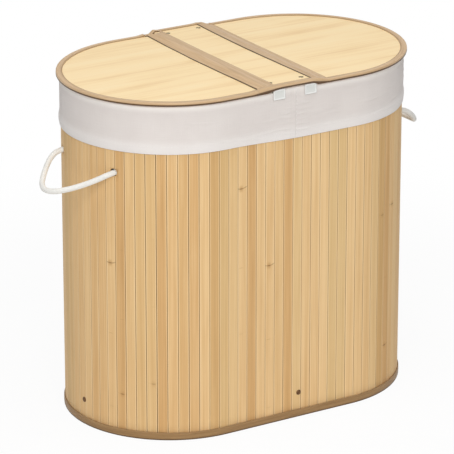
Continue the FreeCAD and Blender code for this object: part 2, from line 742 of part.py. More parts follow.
# ---------------------------------------------------------------- tape hinges
def hinge_tape(name, side):
    """Tape glued over the bridge's edge and down onto the lid, its ends folded over the rims."""
    t = s.binding_lip
    over_lid = lid_top + s.glue_gap
    under_bridge = bridge_top - binding_height
    ramp_low = lid_edge + s.tape_ramp
    top = [(tape_bridge_end, bridge_top), (s.bridge_half_width, bridge_top),
           (ramp_low, over_lid), (tape_lid_end, over_lid)]
    strip = top + [(tape_lid_end, over_lid - t), (ramp_low, over_lid - t),
                   (s.bridge_half_width + s.glue_gap, bridge_top - t), (tape_bridge_end, bridge_top - t)]
    flap = top + [(tape_lid_end, lid_bottom), (ramp_low, lid_bottom),
                  (s.bridge_half_width, under_bridge), (tape_bridge_end, under_bridge)]
    body = new_body(name)
    outline = new_sketch(body, f"{name}_strip", "XZ_Plane", -lid_radius)
    polygon(outline, [(x * side, z) for x, z in strip])
    pad(body, outline, lid_radius * 2, "strip")
    for face, offset in ((FRONT, board_radius + s.glue_gap), (BACK, -lid_radius)):
        end = new_sketch(body, f"{name}_{FACE_WORD[face]}_end", "XZ_Plane", offset)
        polygon(end, [(x * side, z) for x, z in flap])
        pad(body, end, s.binding_wall - s.glue_gap, f"{FACE_WORD[face]}_end")


for side, word in SIDE_WORD.items():
    hinge_tape(f"{word}_hinge_tape", side)


# ---------------------------------------------------------------- rope handles
def rope_path(points):
    """Straight runs joined by tangent arcs, each as large as its two runs allow."""
    points = [Vector(*p) for p in points]
    edges, radii, at = [], [], points[0]
    for before, corner, after in zip(points, points[1:], points[2:]):
        back, on = (before - corner), (after - corner)
        run = min(back.Length, on.Length)
        back.normalize()
        on.normalize()
        half_turn = (math.pi - back.getAngle(on)) / 2
        take = CORNER_SHARE * run
        radii.append(take / math.tan(half_turn))
        middle = back + on
        middle.normalize()
        centre_distance = radii[-1] / math.cos(half_turn)
        mid_point = corner + middle * (centre_distance - radii[-1])
        enter, leave = corner + back * take, corner + on * take
        edges.append(Part.LineSegment(at, enter).toShape())
        edges.append(Part.Arc(enter, mid_point, leave).toShape())
        at = leave
    edges.append(Part.LineSegment(at, points[-1]).toShape())
    return Part.Wire(edges), radii


def rope_tube(points, diameter):
    path, radii = rope_path(points)
    start = Vector(*points[0])
    section = Part.Wire(Part.Circle(start, Vector(*points[1]) - start, diameter / 2).toShape())
    tube = path.makePipeShell([section], True, True)
    share = tube.Volume / (math.pi * diameter ** 2 / 4 * path.Length)
    print("rope length", round(path.Length, 1), "volume share", round(share, 4))
    print("rope radii", [round(r, 1) for r in radii])
    return tube


rope = rope_tube(HANDLE_ROUTE, s.rope_diameter.number)
for side, word in SIDE_WORD.items():
    handle = doc.addObject("Part::Feature", f"{word}_handle_rope")
    handle.Shape = rope
    turn = 0 if side == LEFT else 180
    handle.Placement = Placement(Vector(0, 0, 0), Rotation(Vector(0, 0, 1), turn))
    knots = []
    for face in (FRONT, BACK):
        angle = (s.handle_half_angle + s.knot_lean) * face + s.handle_turn * side
        knot = doc.addObject("Part::Ellipsoid", f"{word}_{FACE_WORD[face]}_knot")
        bind(knot, Radius1=s.knot_depth / 2, Radius2=s.knot_width / 2, Radius3=s.knot_width / 2)
        aim(knot, (side * cosine(angle).number, sine(angle).number, 0))
        knot_x = (s.half_straight + knot_reach * cosine(angle)) * side
        knots.append(place(knot, knot_x, knot_reach * sine(angle), s.handle_height))
    gather(f"{word}_handle_knots", knots)

# ---------------------------------------------------------------- check and export
NODES = [
    "front_slats", "back_slats", "left_end_slats", "right_end_slats", "slat_backing", "foot_band",
    "base_hoop", "base_board", "base_screws", "top_hoop", "left_crossbar", "right_crossbar",
    "crossbar_screws", "left_bag_side", "left_bag_floor", "left_bag_divider", "right_bag_side",
    "right_bag_floor", "right_bag_divider", "liner_cuff", "front_tabs", "back_tabs", "tab_fasteners",
    "left_handle_rope", "right_handle_rope", "left_handle_knots", "right_handle_knots",
    "bridge_board", "bridge_front_binding", "bridge_back_binding", "bridge_screws",
    "left_hinge_tape", "right_hinge_tape", "left_lid_board", "left_lid_binding",
    "right_lid_board", "right_lid_binding",
]
doc.recompute()
broken = [thing.Label for thing in doc.Objects if {"Invalid", "Error"} & set(thing.State)]
if broken:
    raise RuntimeError(f"failed to build: {broken}")
os.makedirs("parts", exist_ok=True)
for name in NODES:
    node = doc.getObject(name)
    if node.Shape.isNull() or not node.Shape.isValid() or not node.Shape.Solids:
        raise RuntimeError(f"bad shape: {name}")
    node.Shape.exportStep(f"parts/{node.Label}.step")
print(len(NODES), "nodes")
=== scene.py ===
# Laundry hamper with lid: the looks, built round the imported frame. Metres, +Z up, front at -Y.
import math

import bmesh
import bpy
import numpy as np
from mathutils import Matrix, Vector


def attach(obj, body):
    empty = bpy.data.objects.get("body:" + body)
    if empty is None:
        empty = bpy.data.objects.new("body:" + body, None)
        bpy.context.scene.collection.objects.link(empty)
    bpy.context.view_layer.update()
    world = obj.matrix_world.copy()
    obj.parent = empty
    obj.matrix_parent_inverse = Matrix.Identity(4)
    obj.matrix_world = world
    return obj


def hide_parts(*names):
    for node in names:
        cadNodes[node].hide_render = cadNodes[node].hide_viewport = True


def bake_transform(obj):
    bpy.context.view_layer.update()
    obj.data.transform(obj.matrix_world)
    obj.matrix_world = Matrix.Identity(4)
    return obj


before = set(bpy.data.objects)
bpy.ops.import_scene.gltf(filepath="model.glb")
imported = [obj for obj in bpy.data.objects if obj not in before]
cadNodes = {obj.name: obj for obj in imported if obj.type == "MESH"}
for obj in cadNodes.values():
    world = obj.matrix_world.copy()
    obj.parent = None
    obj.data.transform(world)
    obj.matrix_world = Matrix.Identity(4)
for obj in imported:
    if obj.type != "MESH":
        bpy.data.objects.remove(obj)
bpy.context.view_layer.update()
print("frame loaded,", len(cadNodes), "nodes")

mm = 0.001
basket, leftLid, rightLid = "basket", "left_lid", "right_lid"
lidOf = {"left": leftLid, "right": rightLid}
sideSign = {"left": -1, "right": 1}

# the oval that the wall follows: two straights and two round ends
wall = {
    "halfStraight": 117 * mm,
    "radius": 170 * mm,         # outer face of the slats
}
halfStraight, wallRadius = wall["halfStraight"], wall["radius"]
perimeter = 4 * halfStraight + 2 * math.pi * wallRadius


def ovalPlace(along, radius):
    # x, y and the outward normal at a distance along the wall, counted at the wall's outer face from the
    # middle of the front towards +X: straight, half circle, straight, half circle. radius is the offset oval.
    along = np.mod(along, perimeter)
    marks = np.cumsum([halfStraight, math.pi * wallRadius, 2 * halfStraight, math.pi * wallRadius])
    where = [along < mark for mark in marks]
    rightAngle = (along - marks[0]) / wallRadius - math.pi / 2
    leftAngle = (along - marks[2]) / wallRadius + math.pi / 2
    flat = np.zeros_like(along)
    nx = np.select(where, [flat, np.cos(rightAngle), flat, np.cos(leftAngle)], flat)
    ny = np.select(where, [flat - 1, np.sin(rightAngle), flat + 1, np.sin(leftAngle)], flat - 1)
    cx = np.select(
        where,
        [along, flat + halfStraight, halfStraight - (along - marks[1]), flat - halfStraight],
        along - perimeter,
    )
    return cx + radius * nx, radius * ny, nx, ny


def softNoise(a, b, seed, scaleA, scaleB, waves=9):
    # A smooth wandering height from -1 to 1: the mean of a few sine waves over a and b with seeded
    # wavelengths and phases.
    rng = np.random.default_rng(seed)
    total = np.zeros(np.broadcast(a, b).shape)
    for _ in range(waves):
        turnA, turnB, phase = rng.uniform(-1, 1), rng.uniform(-1, 1), rng.uniform(0, 2 * math.pi)
        total += np.sin(2 * math.pi * (a * turnA / scaleA + b * turnB / scaleB) + phase)
    return total / (0.5 * waves)


def wander(a, seed, scale):
    # soft noise along one direction only
    return softNoise(a, 0 * a, seed, scale, 1.0)


def smoothStep(low, high, value):
    t = np.clip((value - low) / (high - low), 0, 1)
    return t * t * (3 - 2 * t)


def unit(v):
    return v / np.linalg.norm(v, axis=-1, keepdims=True)


def grid(*parts):
    # arrays brought to one shape, as the values of each point
    return np.stack(np.broadcast_arrays(*parts), -1)


def runLength(line):
    # how far along a line of points each of them lies
    return np.concatenate([[0], np.cumsum(np.linalg.norm(np.diff(line, axis=0), axis=1))])


def addObject(name, data):
    made = bpy.data.objects.new(name, data)
    bpy.context.scene.collection.objects.link(made)
    return made


# meshes from grids of points
def gridFaces(rows, columns, closeRows, closeColumns, start=0):
    i = np.arange(rows if closeRows else rows - 1)[:, None]
    j = np.arange(columns if closeColumns else columns - 1)[None, :]
    nextI, nextJ = (i + 1) % rows, (j + 1) % columns
    corners = [i * columns + j, i * columns + nextJ, nextI * columns + nextJ, nextI * columns + j]
    return grid(*corners).reshape(-1, 4) + start


def surface(name, points, closeRows=False, closeColumns=False, caps=False, maps=None):
    # points is (rows, columns, 3), or (copies, rows, columns, 3) where a shape repeats. maps holds UV maps
    # as arrays of the same grid with 2 values. Coincident points are merged and faces turned outwards.
    points = np.asarray(points, float)
    if points.ndim == 3:
        points = points[None]
    copies, rows, columns = points.shape[:3]
    each = rows * columns
    faces = np.concatenate(
        [gridFaces(rows, columns, closeRows, closeColumns, k * each) for k in range(copies)]
    )
    polygons = faces.tolist()
    if caps:
        for k in range(copies):
            first = np.arange(columns) + k * each
            polygons.append(first[::-1].tolist())
            polygons.append((first + each - columns).tolist())
    mesh = bpy.data.meshes.new(name)
    mesh.from_pydata(points.reshape(-1, 3).tolist(), [], polygons)
    corner = np.zeros(len(mesh.loops), np.int32)
    mesh.loops.foreach_get("vertex_index", corner)
    for mapName, values in (maps or {}).items():
        flat = np.broadcast_to(values, points.shape[:3] + (2,)).reshape(-1, 2)
        layer = mesh.uv_layers.new(name=mapName)
        layer.data.foreach_set("uv", flat[corner].astype(np.float32).ravel())
    work = bmesh.new()
    work.from_mesh(mesh)
    bmesh.ops.remove_doubles(work, verts=work.verts, dist=1e-6)
    bmesh.ops.recalc_face_normals(work, faces=work.faces)
    work.to_mesh(mesh)
    work.free()
    # end caps are the only faces with many corners, and they stay flat
    mesh.polygons.foreach_set("use_smooth", [len(face.vertices) <= 4 for face in mesh.polygons])
    return addObject(name, mesh)


def applied(piece):
    # the piece's mesh with its modifiers worked in
    graph = bpy.context.evaluated_depsgraph_get()
    graph.update()
    mesh = bpy.data.meshes.new_from_object(piece.evaluated_get(graph))
    piece.modifiers.clear()
    piece.data = mesh
    return piece


def thicken(piece, thickness):
    # half the thickness on either side, smooth all over
    solid = piece.modifiers.new("clothThickness", "SOLIDIFY")
    solid.thickness = thickness
    solid.offset = 0.0
    solid.use_even_offset = True
    applied(piece)
    piece.data.polygons.foreach_set("use_smooth", [True] * len(piece.data.polygons))
    return piece


def addPiece(piece, body, material, replaced=()):
    piece.data.materials.clear()
    piece.data.materials.append(material)
    if body:
        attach(piece, body)
    if replaced:
        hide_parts(*replaced)
    return piece


def addCloth(name, points, maps, thickness, material, node, closeRows=False):
    piece = thicken(surface(name, points, closeRows, maps=maps), thickness)
    return addPiece(piece, basket, material, [node])


# camera, light and stage
cameraValues = {
    "azimuth": -31.602,
    "elevation": 20.095,
    "distance": 5.6,
    "lens": 277.556,
    "sensor": 36.0,
    "lookHeight": 0.280,
    "sideways": -9.66 * mm,
    "upwards": -8.96 * mm,
}


def directionFrom(azimuth, elevation):
    a, e = math.radians(azimuth), math.radians(elevation)
    return Vector((math.sin(a) * math.cos(e), -math.cos(a) * math.cos(e), math.sin(e)))


def pointAt(thing, place, towards):
    # stands at place with its -Z axis along towards
    thing.matrix_world = Matrix.Translation(place) @ towards.to_track_quat("-Z", "Y").to_matrix().to_4x4()


v = cameraValues
back = directionFrom(v["azimuth"], v["elevation"])
aside = Vector((math.cos(math.radians(v["azimuth"])), math.sin(math.radians(v["azimuth"])), 0))
aim = Vector((0, 0, v["lookHeight"])) + aside * v["sideways"] + back.cross(aside) * v["upwards"]
cameraData = bpy.data.cameras.new("camera")
cameraData.lens = v["lens"]
cameraData.sensor_width = v["sensor"]
camera = addObject("camera", cameraData)
pointAt(camera, aim + back * v["distance"], -back)
bpy.context.scene.camera = camera

lights = {
    "key": {"azimuth": -32, "elevation": 32, "distance": 4.0, "size": 2.0, "share": 0.46},
    "top": {"azimuth": -27, "elevation": 82, "distance": 4.0, "size": 2.0, "share": 0.35},
    "aimHeight": 0.3,
    "world": 0.335,             # light from all round
    "floorEdge": 14.0,
    "floorWhite": (0.93, 1.0),  # how much of the floor is plain white to the camera, near and far
    "floorReach": (0.55, 1.2),  # metres from the middle where near ends and far begins
}
for name in ("key", "top"):
    v = lights[name]
    away = directionFrom(v["azimuth"], v["elevation"])
    lamp = bpy.data.lights.new(name, "AREA")
    lamp.size = v["size"]
    lamp.energy = v["share"] * math.pi ** 2 * v["distance"] ** 2
    pointAt(addObject(name, lamp), away * v["distance"] + Vector((0, 0, lights["aimHeight"])), -away)


# building materials from nodes
def linear(red, green, blue):
    # a colour as it looks on a screen, 0 to 255, made scene linear
    c = np.array([red, green, blue], float) / 255
    c = np.where(c <= 0.04045, c / 12.92, ((c + 0.055) / 1.055) ** 2.4)
    return (*c.tolist(), 1.0)


class Channel:
    # a node's output, which adds, subtracts and multiplies as a number does
    def __init__(self, tree, socket):
        self.tree, self.socket = tree, socket

    def does(self, operation, other=0.0, swapped=False):
        made = addNode(self.tree, "ShaderNodeMath", {"operation": operation})
        first, second = (other, self) if swapped else (self, other)
        plug(made.inputs[0], first)
        plug(made.inputs[1], second)
        return Channel(self.tree, made.outputs[0])

    def __add__(self, other):
        return self.does("ADD", other)

    def __sub__(self, other):
        return self.does("SUBTRACT", other)

    def __rsub__(self, other):
        return self.does("SUBTRACT", other, True)

    def __mul__(self, other):
        return self.does("MULTIPLY", other)

    def __abs__(self):
        return self.does("ABSOLUTE")

    def between(self, low, high):
        # 0 at low, 1 at high, smooth between
        made = addNode(self.tree, "ShaderNodeMapRange", {"interpolation_type": "SMOOTHSTEP"},
                       Value=self, From_Min=low, From_Max=high)
        return Channel(self.tree, made.outputs[0])


def plug(socket, value):
    # a channel is linked, anything else is set
    if isinstance(value, Channel):
        value.tree.links.new(value.socket, socket)
    else:
        socket.default_value = value


def addNode(tree, kind, settings=None, **inputs):
    # underscores in an input's name stand for spaces
    made = tree.nodes.new(kind)
    for key, value in (settings or {}).items():
        setattr(made, key, value)
    for key, value in inputs.items():
        plug(made.inputs[key.replace("_", " ")], value)
    return made


class Recipe:
    # a material in the making; its colours are given as they look on a screen
    def __init__(self, name, roughness=0.5, specular=0.5, **sockets):
        self.material = bpy.data.materials.new(name)
        self.material.use_nodes = True
        self.tree = self.material.node_tree
        self.shader = self.tree.nodes["Principled BSDF"]
        for key, value in {"Roughness": roughness, "Specular_IOR_Level": specular, **sockets}.items():
            self.shader.inputs[key.replace("_", " ")].default_value = value

    def out(self, kind, settings=None, **inputs):
        return Channel(self.tree, addNode(self.tree, kind, settings, **inputs).outputs[0])

    def coords(self, mapName=None):
        if mapName:
            return self.out("ShaderNodeUVMap", {"uv_map": mapName})
        return Channel(self.tree, self.tree.nodes.new("ShaderNodeTexCoord").outputs["Object"])

    def parts(self, mapName):
        outputs = addNode(self.tree, "ShaderNodeSeparateXYZ", Vector=self.coords(mapName)).outputs
        return [Channel(self.tree, output) for output in outputs]

    def noise(self, place, detail=3.0, roughness=0.5, distortion=0.0):
        # place is a vector, or a tuple of its three parts
        if isinstance(place, tuple):
            place = self.out("ShaderNodeCombineXYZ", X=place[0], Y=place[1], Z=place[2])
        return self.out("ShaderNodeTexNoise", Vector=place, Scale=1.0, Detail=detail,
                        Roughness=roughness, Distortion=distortion)

    def spread(self, scale, detail=3.0, roughness=0.5, distortion=0.0, offset=(0, 0, 0), mapName=None):
        # noise with about scale cells to the metre along each coordinate
        place = self.out("ShaderNodeMapping", Vector=self.coords(mapName), Scale=scale, Location=offset)
        return self.noise(place, detail, roughness, distortion)

    def ramp(self, factor, *stops):
        made = self.tree.nodes.new("ShaderNodeValToRGB")
        plug(made.inputs[0], factor)
        band = made.color_ramp
        for index, (place, colour) in enumerate(stops):
            stop = band.elements[index] if index < 2 else band.elements.new(place)
            stop.position = place
            stop.color = linear(*colour)
        return Channel(self.tree, made.outputs[0])

    def tint(self, base, share, colour):
        made = addNode(self.tree, "ShaderNodeMix", {"data_type": "RGBA"})
        for index, value in ((0, share), (6, base), (7, linear(*colour))):
            plug(made.inputs[index], value)
        return Channel(self.tree, made.outputs[2])

    def done(self, base, height, depth, strength):
        # height is 0 to 1 and depth is in metres
        plug(self.shader.inputs["Base Color"], base)
        bump = self.out("ShaderNodeBump", Strength=strength, Distance=depth, Height=height)
        plug(self.shader.inputs["Normal"], bump)
        return self.material


def slatBamboo():
    # Split bamboo: pale fibres along each slat, a tone of its own for every slat, brown rings at the nodes.
    # UV map grain is metres across and up; tone is darkness and seed; ring is height over the nearest
    # node and how strongly it shows.
    recipe = Recipe("slatBamboo", 0.58, 0.15)
    across, up, _ = recipe.parts("grain")
    tone, seed, _ = recipe.parts("tone")
    fromRing, ringShown, _ = recipe.parts("ring")
    shift = seed * 40.0
    fine = recipe.noise((across * 1600.0, up * 9.0, shift), 4, 0.6)
    broad = recipe.noise((across * 260.0, up * 3.0, shift), 2)
    cloudy = recipe.noise((across * 40.0, up * 7.0, shift), 3)
    dark = tone + (fine - 0.5) * 0.70 + (broad - 0.5) * 0.75 + (cloudy - 0.5) * 0.35
    base = recipe.ramp(dark, (0.0, (240, 205, 153)), (1.0, (198, 151, 95)), (0.5, (221, 179, 124)))
    olive = seed.between(0.62, 1.0) * 0.35
    base = recipe.tint(base, olive, (208, 180, 124))
    # rings: a short brown arc with a soft halo on one part of the slat, and a faint line right across
    aside = abs(across - (seed - 0.5) * 0.009)
    spot = 1.0 - aside.between(0.0008, 0.0052)
    ring = abs(fromRing - aside * aside * 25.0)
    arc = 1.0 - ring.between(0.0003, 0.0014)
    halo = (1.0 - ring.between(0.001, 0.0075)) * spot
    strong = ringShown.between(0.85, 0.95) * 0.6
    line = (arc * (spot * 0.8 + 0.12)).does("MAXIMUM", strong * arc)
    base = recipe.tint(base, halo * ringShown * 0.5, (186, 140, 84))
    base = recipe.tint(base, line * ringShown * 0.85, (138, 98, 56))
    # painted highlight: a lighter band beside each slat's browner edges, where the eased edge catches the
    # light
    fromMiddle = abs(across)
    light = fromMiddle.between(0.0062, 0.0069) * fromMiddle.between(0.0079, 0.0074)
    base = recipe.tint(base, light * 0.5, (250, 224, 178))
    patchy = recipe.noise((across * 900.0, up * 3.0, shift), 2)
    edge = fromMiddle.between(0.0077, 0.0083) * patchy.between(0.25, 0.7)
    base = recipe.tint(base, edge * 0.9, (132, 90, 46))
    return recipe.done(base, fine + broad * 1.5, 0.12 * mm, 0.6)


def lidPanelWood():
    # Bamboo board: long faint streaks along X on the flat, laid in narrow strips.
    recipe = Recipe("lidPanelBamboo", 0.55, 0.3)
    fine = recipe.spread((6, 420, 60), 4, 0.6)
    broad = recipe.spread((2.2, 38, 20), 3, 0.55, 0.4, (3, 1, 2))
    cloudy = recipe.spread((7, 13, 9), 2, offset=(1, 5, 0))
    mix = fine * 0.30 + broad * 0.45 + cloudy * 0.25
    base = recipe.ramp(mix, (0.32, (255, 232, 188)), (0.66, (238, 203, 150)), (0.50, (254, 227, 178)))
    return recipe.done(base, fine, 0.08 * mm, 0.5)


def brownTape(name, light, middle, dark, shades=()):
    # Woven brown tape: fine streaks run with its length, with a faint rib across. UV map strip is metres
    # along and across. Each shade is two distances across the tape in millimetres, between which the colour
    # comes in, its share there and the colour.
    recipe = Recipe(name, 0.62, 0.3, Sheen_Weight=0.15, Sheen_Roughness=0.5)
    along, across, _ = recipe.parts("strip")
    fine = recipe.noise((along * 22.0, across * 900.0, 0.0), 4, 0.65)
    broad = recipe.noise((along * 9.0, across * 190.0, 3.0), 3)
    base = recipe.ramp(fine * 0.5 + broad * 0.5, (0.30, light), (0.72, dark), (0.5, middle))
    for begins, full, share, colour in shades:
        base = recipe.tint(base, across.between(begins * mm, full * mm) * share, colour)
    rib = (along * (2 * math.pi / 0.0011)).does("SINE")
    return recipe.done(base, fine + rib * 0.25, 0.15 * mm, 0.6)


def linerCloth(name, colour, shadow, pitch=0.9 * mm, shades=()):
    # Thin plain-woven polycotton: fine square weave, slubs along the threads, slightly uneven white. Each
    # shade names a UV map and a part of it, 0 or 1, and goes on as a shade of the tape does.
    recipe = Recipe(name, 0.85, 0.2, Sheen_Weight=0.25, Sheen_Roughness=0.5)
    x, y, _ = recipe.parts("cloth")
    turns = 2 * math.pi / pitch
    weave = (x * turns).does("SINE") * (y * turns).does("SINE") * 0.5 + 0.5
    slubs = recipe.spread((30, 900, 1), 3, 0.6, mapName="cloth")
    slubs += recipe.spread((900, 30, 1), 3, 0.6, offset=(4, 2, 0), mapName="cloth")
    cloudy = recipe.spread((14, 14, 1), 3, 0.55, mapName="cloth")
    base = recipe.ramp(slubs * 0.25 + cloudy * 0.5, (0.28, colour), (0.78, shadow))
    for mapName, part, begins, full, share, tint in shades:
        base = recipe.tint(base, recipe.parts(mapName)[part].between(begins * mm, full * mm) * share, tint)
    base = recipe.tint(base, (1.0 - weave) * 0.10, (186, 178, 170))
    return recipe.done(base, weave + slubs * 0.5, 0.16 * mm, 0.7)


def mottled(name, roughness, specular, layers, stops, depth, strength, mapName=None, **sockets):
    # A colour that wanders with one or two noises. Each layer is its share, its scale along the three
    # coordinates and the noise's own values; the first layer also makes the relief.
    recipe = Recipe(name, roughness, specular, **sockets)
    fields = [recipe.spread(scale, *rest, mapName=mapName) for _, scale, *rest in layers]
    mix = fields[0] * layers[0][0]
    for field, layer in zip(fields[1:], layers[1:]):
        mix += field * layer[0]
    return recipe.done(recipe.ramp(mix, *stops), fields[0], depth, strength)


def screwHeadPaintedLight():
    # Flush screw head: a painted highlight over the face, with painted shade on its outer ring and in the
    # cross recess. UV map head is metres out from the middle and metres below the face.
    recipe = Recipe("screwHeadPaintedLight", 0.5, 0.4)
    out, below, _ = recipe.parts("head")
    headMottle = recipe.spread((600, 600, 600), 3, 0.6)
    # painted shade on the head's outer ring and in the cross recess; the rest of the face is a painted
    # highlight
    ringShade = (out + (headMottle - 0.5) * (1.2 * mm)).between(1.3 * mm, 1.9 * mm)
    recessShade = below.between(0.2 * mm, 0.6 * mm) * 0.5
    headHighlight = recipe.ramp(headMottle, (0.3, (240, 220, 178)), (0.7, (200, 174, 130)))
    base = recipe.tint(headHighlight, ringShade.does("MAXIMUM", recessShade), (26, 17, 9))
    return recipe.done(base, headMottle, 0.05 * mm, 0.4)


slatMaterial = slatBamboo()
panelMaterial = lidPanelWood()
tapeTones = ((222, 192, 156), (206, 174, 134), (182, 148, 108))
# painted shade on the lower part of the rim's outer side; lowerLip takes the tape's own colour back on the
# lower lip
rimSideShade = (12.9, 13.8, 0.95, (84, 58, 34))
lowerLip = (16.3, 17.4, 0.85, (206, 174, 134))
# painted shade along each hinge tape's left edge, where it stands above the board; a fainter dark line along
# its right edge
hingeEdgeShade = (60, 42, 24)
rimMaterial = brownTape("rimTape", *tapeTones, [(3.6, 2.2, 0.6, (150, 116, 74)), rimSideShade, lowerLip])
# painted shade in the crevice between the left hinge tape's back end and its link
creviceShadeMaterial = brownTape("creviceShadedTape", *tapeTones, [(2.0, 1.3, 0.9, (84, 56, 36)), rimSideShade, lowerLip])
hingeMaterials = {
    "left": brownTape("leftHingeTape", *tapeTones, [
        (60.7, 61.4, 0.9, hingeEdgeShade), (35.2, 34.2, 0.3, hingeEdgeShade),
    ]),
    "right": brownTape("rightHingeTape", *tapeTones, [
        (35.3, 34.6, 0.9, hingeEdgeShade), (60.8, 61.8, 0.3, hingeEdgeShade),
    ]),
}
footMaterial = brownTape("footTape", (174, 140, 96), (156, 122, 80), (126, 94, 58), [
    (10.8, 12.4, 0.85, (88, 64, 40)),
])
cuffMaterial = linerCloth("cuffCloth", (238, 231, 226), (224, 215, 210), shades=[
    # painted light: lighter towards the hem
    ("cloth", 1, 70, 89, 0.45, (252, 249, 246)),
    # painted shade along the seam's lap
    ("seam", 0, 1.5, 0.7, 0.16, (178, 170, 165)),
    # painted light: lighter over the fold's top and the top of the outside, under the rim's overhang
    ("cloth", 1, 26, 15, 0.7, (255, 250, 245)),
])
bagMaterial = linerCloth("bagCloth", (240, 237, 232), (224, 219, 213))
tabMaterial = linerCloth("tabCloth", (254, 254, 252), (246, 246, 243), shades=[
    ("border", 0, 1.8, 2.4, 0.7, (224, 226, 221)),
    # painted shade along the tab's very edge
    ("border", 0, 0.7, 0.3, 0.5, (186, 182, 178)),
])
threadMaterial = linerCloth("sewingThread", (255, 253, 250), (234, 229, 224), 0.4 * mm)
# braided cotton cord: the plait is in the mesh, with fine fibres over it
ropeMaterial = mottled(
    "ropeCotton", 0.7, 0.3, [(0.6, (1500, 260, 1), 3, 0.6), (0.4, (60, 20, 1), 2)],
    [(0.3, (248, 247, 243)), (0.75, (222, 219, 211))], 0.12 * mm, 0.6, "cord",
    Sheen_Weight=0.3, Sheen_Roughness=0.4,
)
# thin light and dark plies stacked through the thickness, soft figure on the faces
plyMaterial = mottled(
    "hoopPlywood", 0.6, 0.3, [(0.4, (220, 220, 900), 3, 0.6), (0.6, (18, 18, 160), 4, 0.6, 0.6)],
    [(0.3, (222, 192, 148)), (0.75, (176, 140, 96))], 0.1 * mm, 0.5,
)
backingMaterial = mottled(
    "backingCloth", 0.9, 0.15, [(0.6, (900, 900, 900), 2), (0.4, (25, 25, 25), 3)],
    [(0.3, (158, 122, 80)), (0.75, (112, 82, 50))], 0.15 * mm, 0.7,
)
# bronzed steel: dark reddish brown with a slightly worn, brighter skin
screwMaterial = mottled(
    "darkScrewMetal", 0.42, 0.5, [(1.0, (700, 700, 700), 3, 0.6)],
    [(0.35, (84, 56, 34)), (0.7, (132, 98, 62))], 0.05 * mm, 0.4, Metallic=0.6,
)
screwHeadMaterial = screwHeadPaintedLight()
feltMaterial = mottled(
    "fastenerFelt", 0.95, 0.1, [(1.0, (1600, 1600, 1600), 2, 0.6)],
    [(0.3, (244, 242, 238)), (0.7, (206, 202, 196))], 0.5 * mm, 0.8,
)
print("materials made")


def cameraSees(tree):
    path = tree.nodes.new("ShaderNodeLightPath").outputs
    rays = [Channel(tree, path[f"Is {kind} Ray"]) for kind in ("Camera", "Glossy", "Transmission")]
    return rays[0].does("MAXIMUM", rays[1]).does("MAXIMUM", rays[2])


def mixShaders(tree, share, first, second, output):
    mix = tree.nodes.new("ShaderNodeMixShader")
    for socket, value in zip(mix.inputs, (share, first, second)):
        plug(socket, value)
    tree.links.new(mix.outputs[0], tree.nodes.new(output).inputs["Surface"])


def makeStage():
    # white floor that still takes a shadow, and a white surround to the camera and to reflections
    edge = lights["floorEdge"]
    floorMesh = bpy.data.meshes.new("floor")
    corners = [(-edge, -edge, 0), (edge, -edge, 0), (edge, edge, 0), (-edge, edge, 0)]
    floorMesh.from_pydata(corners, [], [(0, 1, 2, 3)])
    recipe = Recipe("floorPaper")
    tree = recipe.tree
    tree.nodes.clear()
    paper = recipe.ramp(recipe.spread((3, 3, 3), 2), (0.0, (238, 238, 238)), (1.0, (244, 244, 244)))
    matt = recipe.out("ShaderNodeBsdfDiffuse", Color=paper)
    glow = recipe.out("ShaderNodeEmission", Strength=1.0)
    length = addNode(tree, "ShaderNodeVectorMath", {"operation": "LENGTH"}, Vector=recipe.coords())
    reach = Channel(tree, length.outputs["Value"])
    near, far = lights["floorWhite"]
    white = reach.between(*lights["floorReach"]) * (far - near) + near
    mixShaders(tree, cameraSees(tree) * white, matt, glow, "ShaderNodeOutputMaterial")
    floorMesh.materials.append(recipe.material)
    addObject("floor", floorMesh)

    world = bpy.data.worlds.new("studio")
    world.use_nodes = True
    bpy.context.scene.world = world
    tree = world.node_tree
    tree.nodes.clear()
    light, white = (
        Channel(tree, addNode(tree, "ShaderNodeBackground", Color=(1, 1, 1, 1), Strength=strength).outputs[0])
        for strength in (lights["world"], 1.0)
    )
    mixShaders(tree, cameraSees(tree), light, white, "ShaderNodeOutputWorld")
    bpy.context.scene.view_settings.view_transform = "Standard"


makeStage()
print("camera, lights and stage set")

# rope handles and their knots
handle = {
    "diameter": 8 * mm,
    "skin": 8.8 * mm,           # over the plait and its fibres
    "length": 255 * mm,
    "around": 20,               # points round the cord
    "steps": 420,               # points along it
    "plaits": 4,                # strands each way
    "plaitRise": 0.10 * mm,
    "plaitPitch": 17 * mm,
    "knotAngles": {"back": 20.0, "front": -30.0},   # degrees from the end of the oval, rear hole positive
    "knotReach": 158.2 * mm,    # knot's middle from the centre of the round end
    "knotHeight": 436 * mm,
    "knotRing": 5.6 * mm,
    "knotCord": 3.6 * mm,
    "knotTurn": 2.2 * mm,
    "knotSway": 0.35,           # how far the ring itself swells and shrinks, as a share of the turn
    "knotLength": 110 * mm,
    "knotSteps": 120,
}
handleRoute = np.array([
    (-266.9, 53.6, 436.0),
    (-285.6, 56.6, 435.4),
    (-302.0, 55.0, 426.0),
    (-318.0, 44.0, 417.0),
    (-333.0, 28.0, 409.0),
    (-345.0, 8.0, 403.0),
    (-348.0, -13.0, 401.0),
    (-340.0, -32.0, 404.0),
    (-323.0, -47.0, 411.0),
    (-304.0, -60.0, 419.0),
    (-288.0, -73.0, 427.0),
    (-275.6, -84.0, 434.6),
    (-254.8, -80.7, 436.0),
]) * mm
halfTurn = np.array([-1, -1, 1])    # the right handle is the left one turned half way round
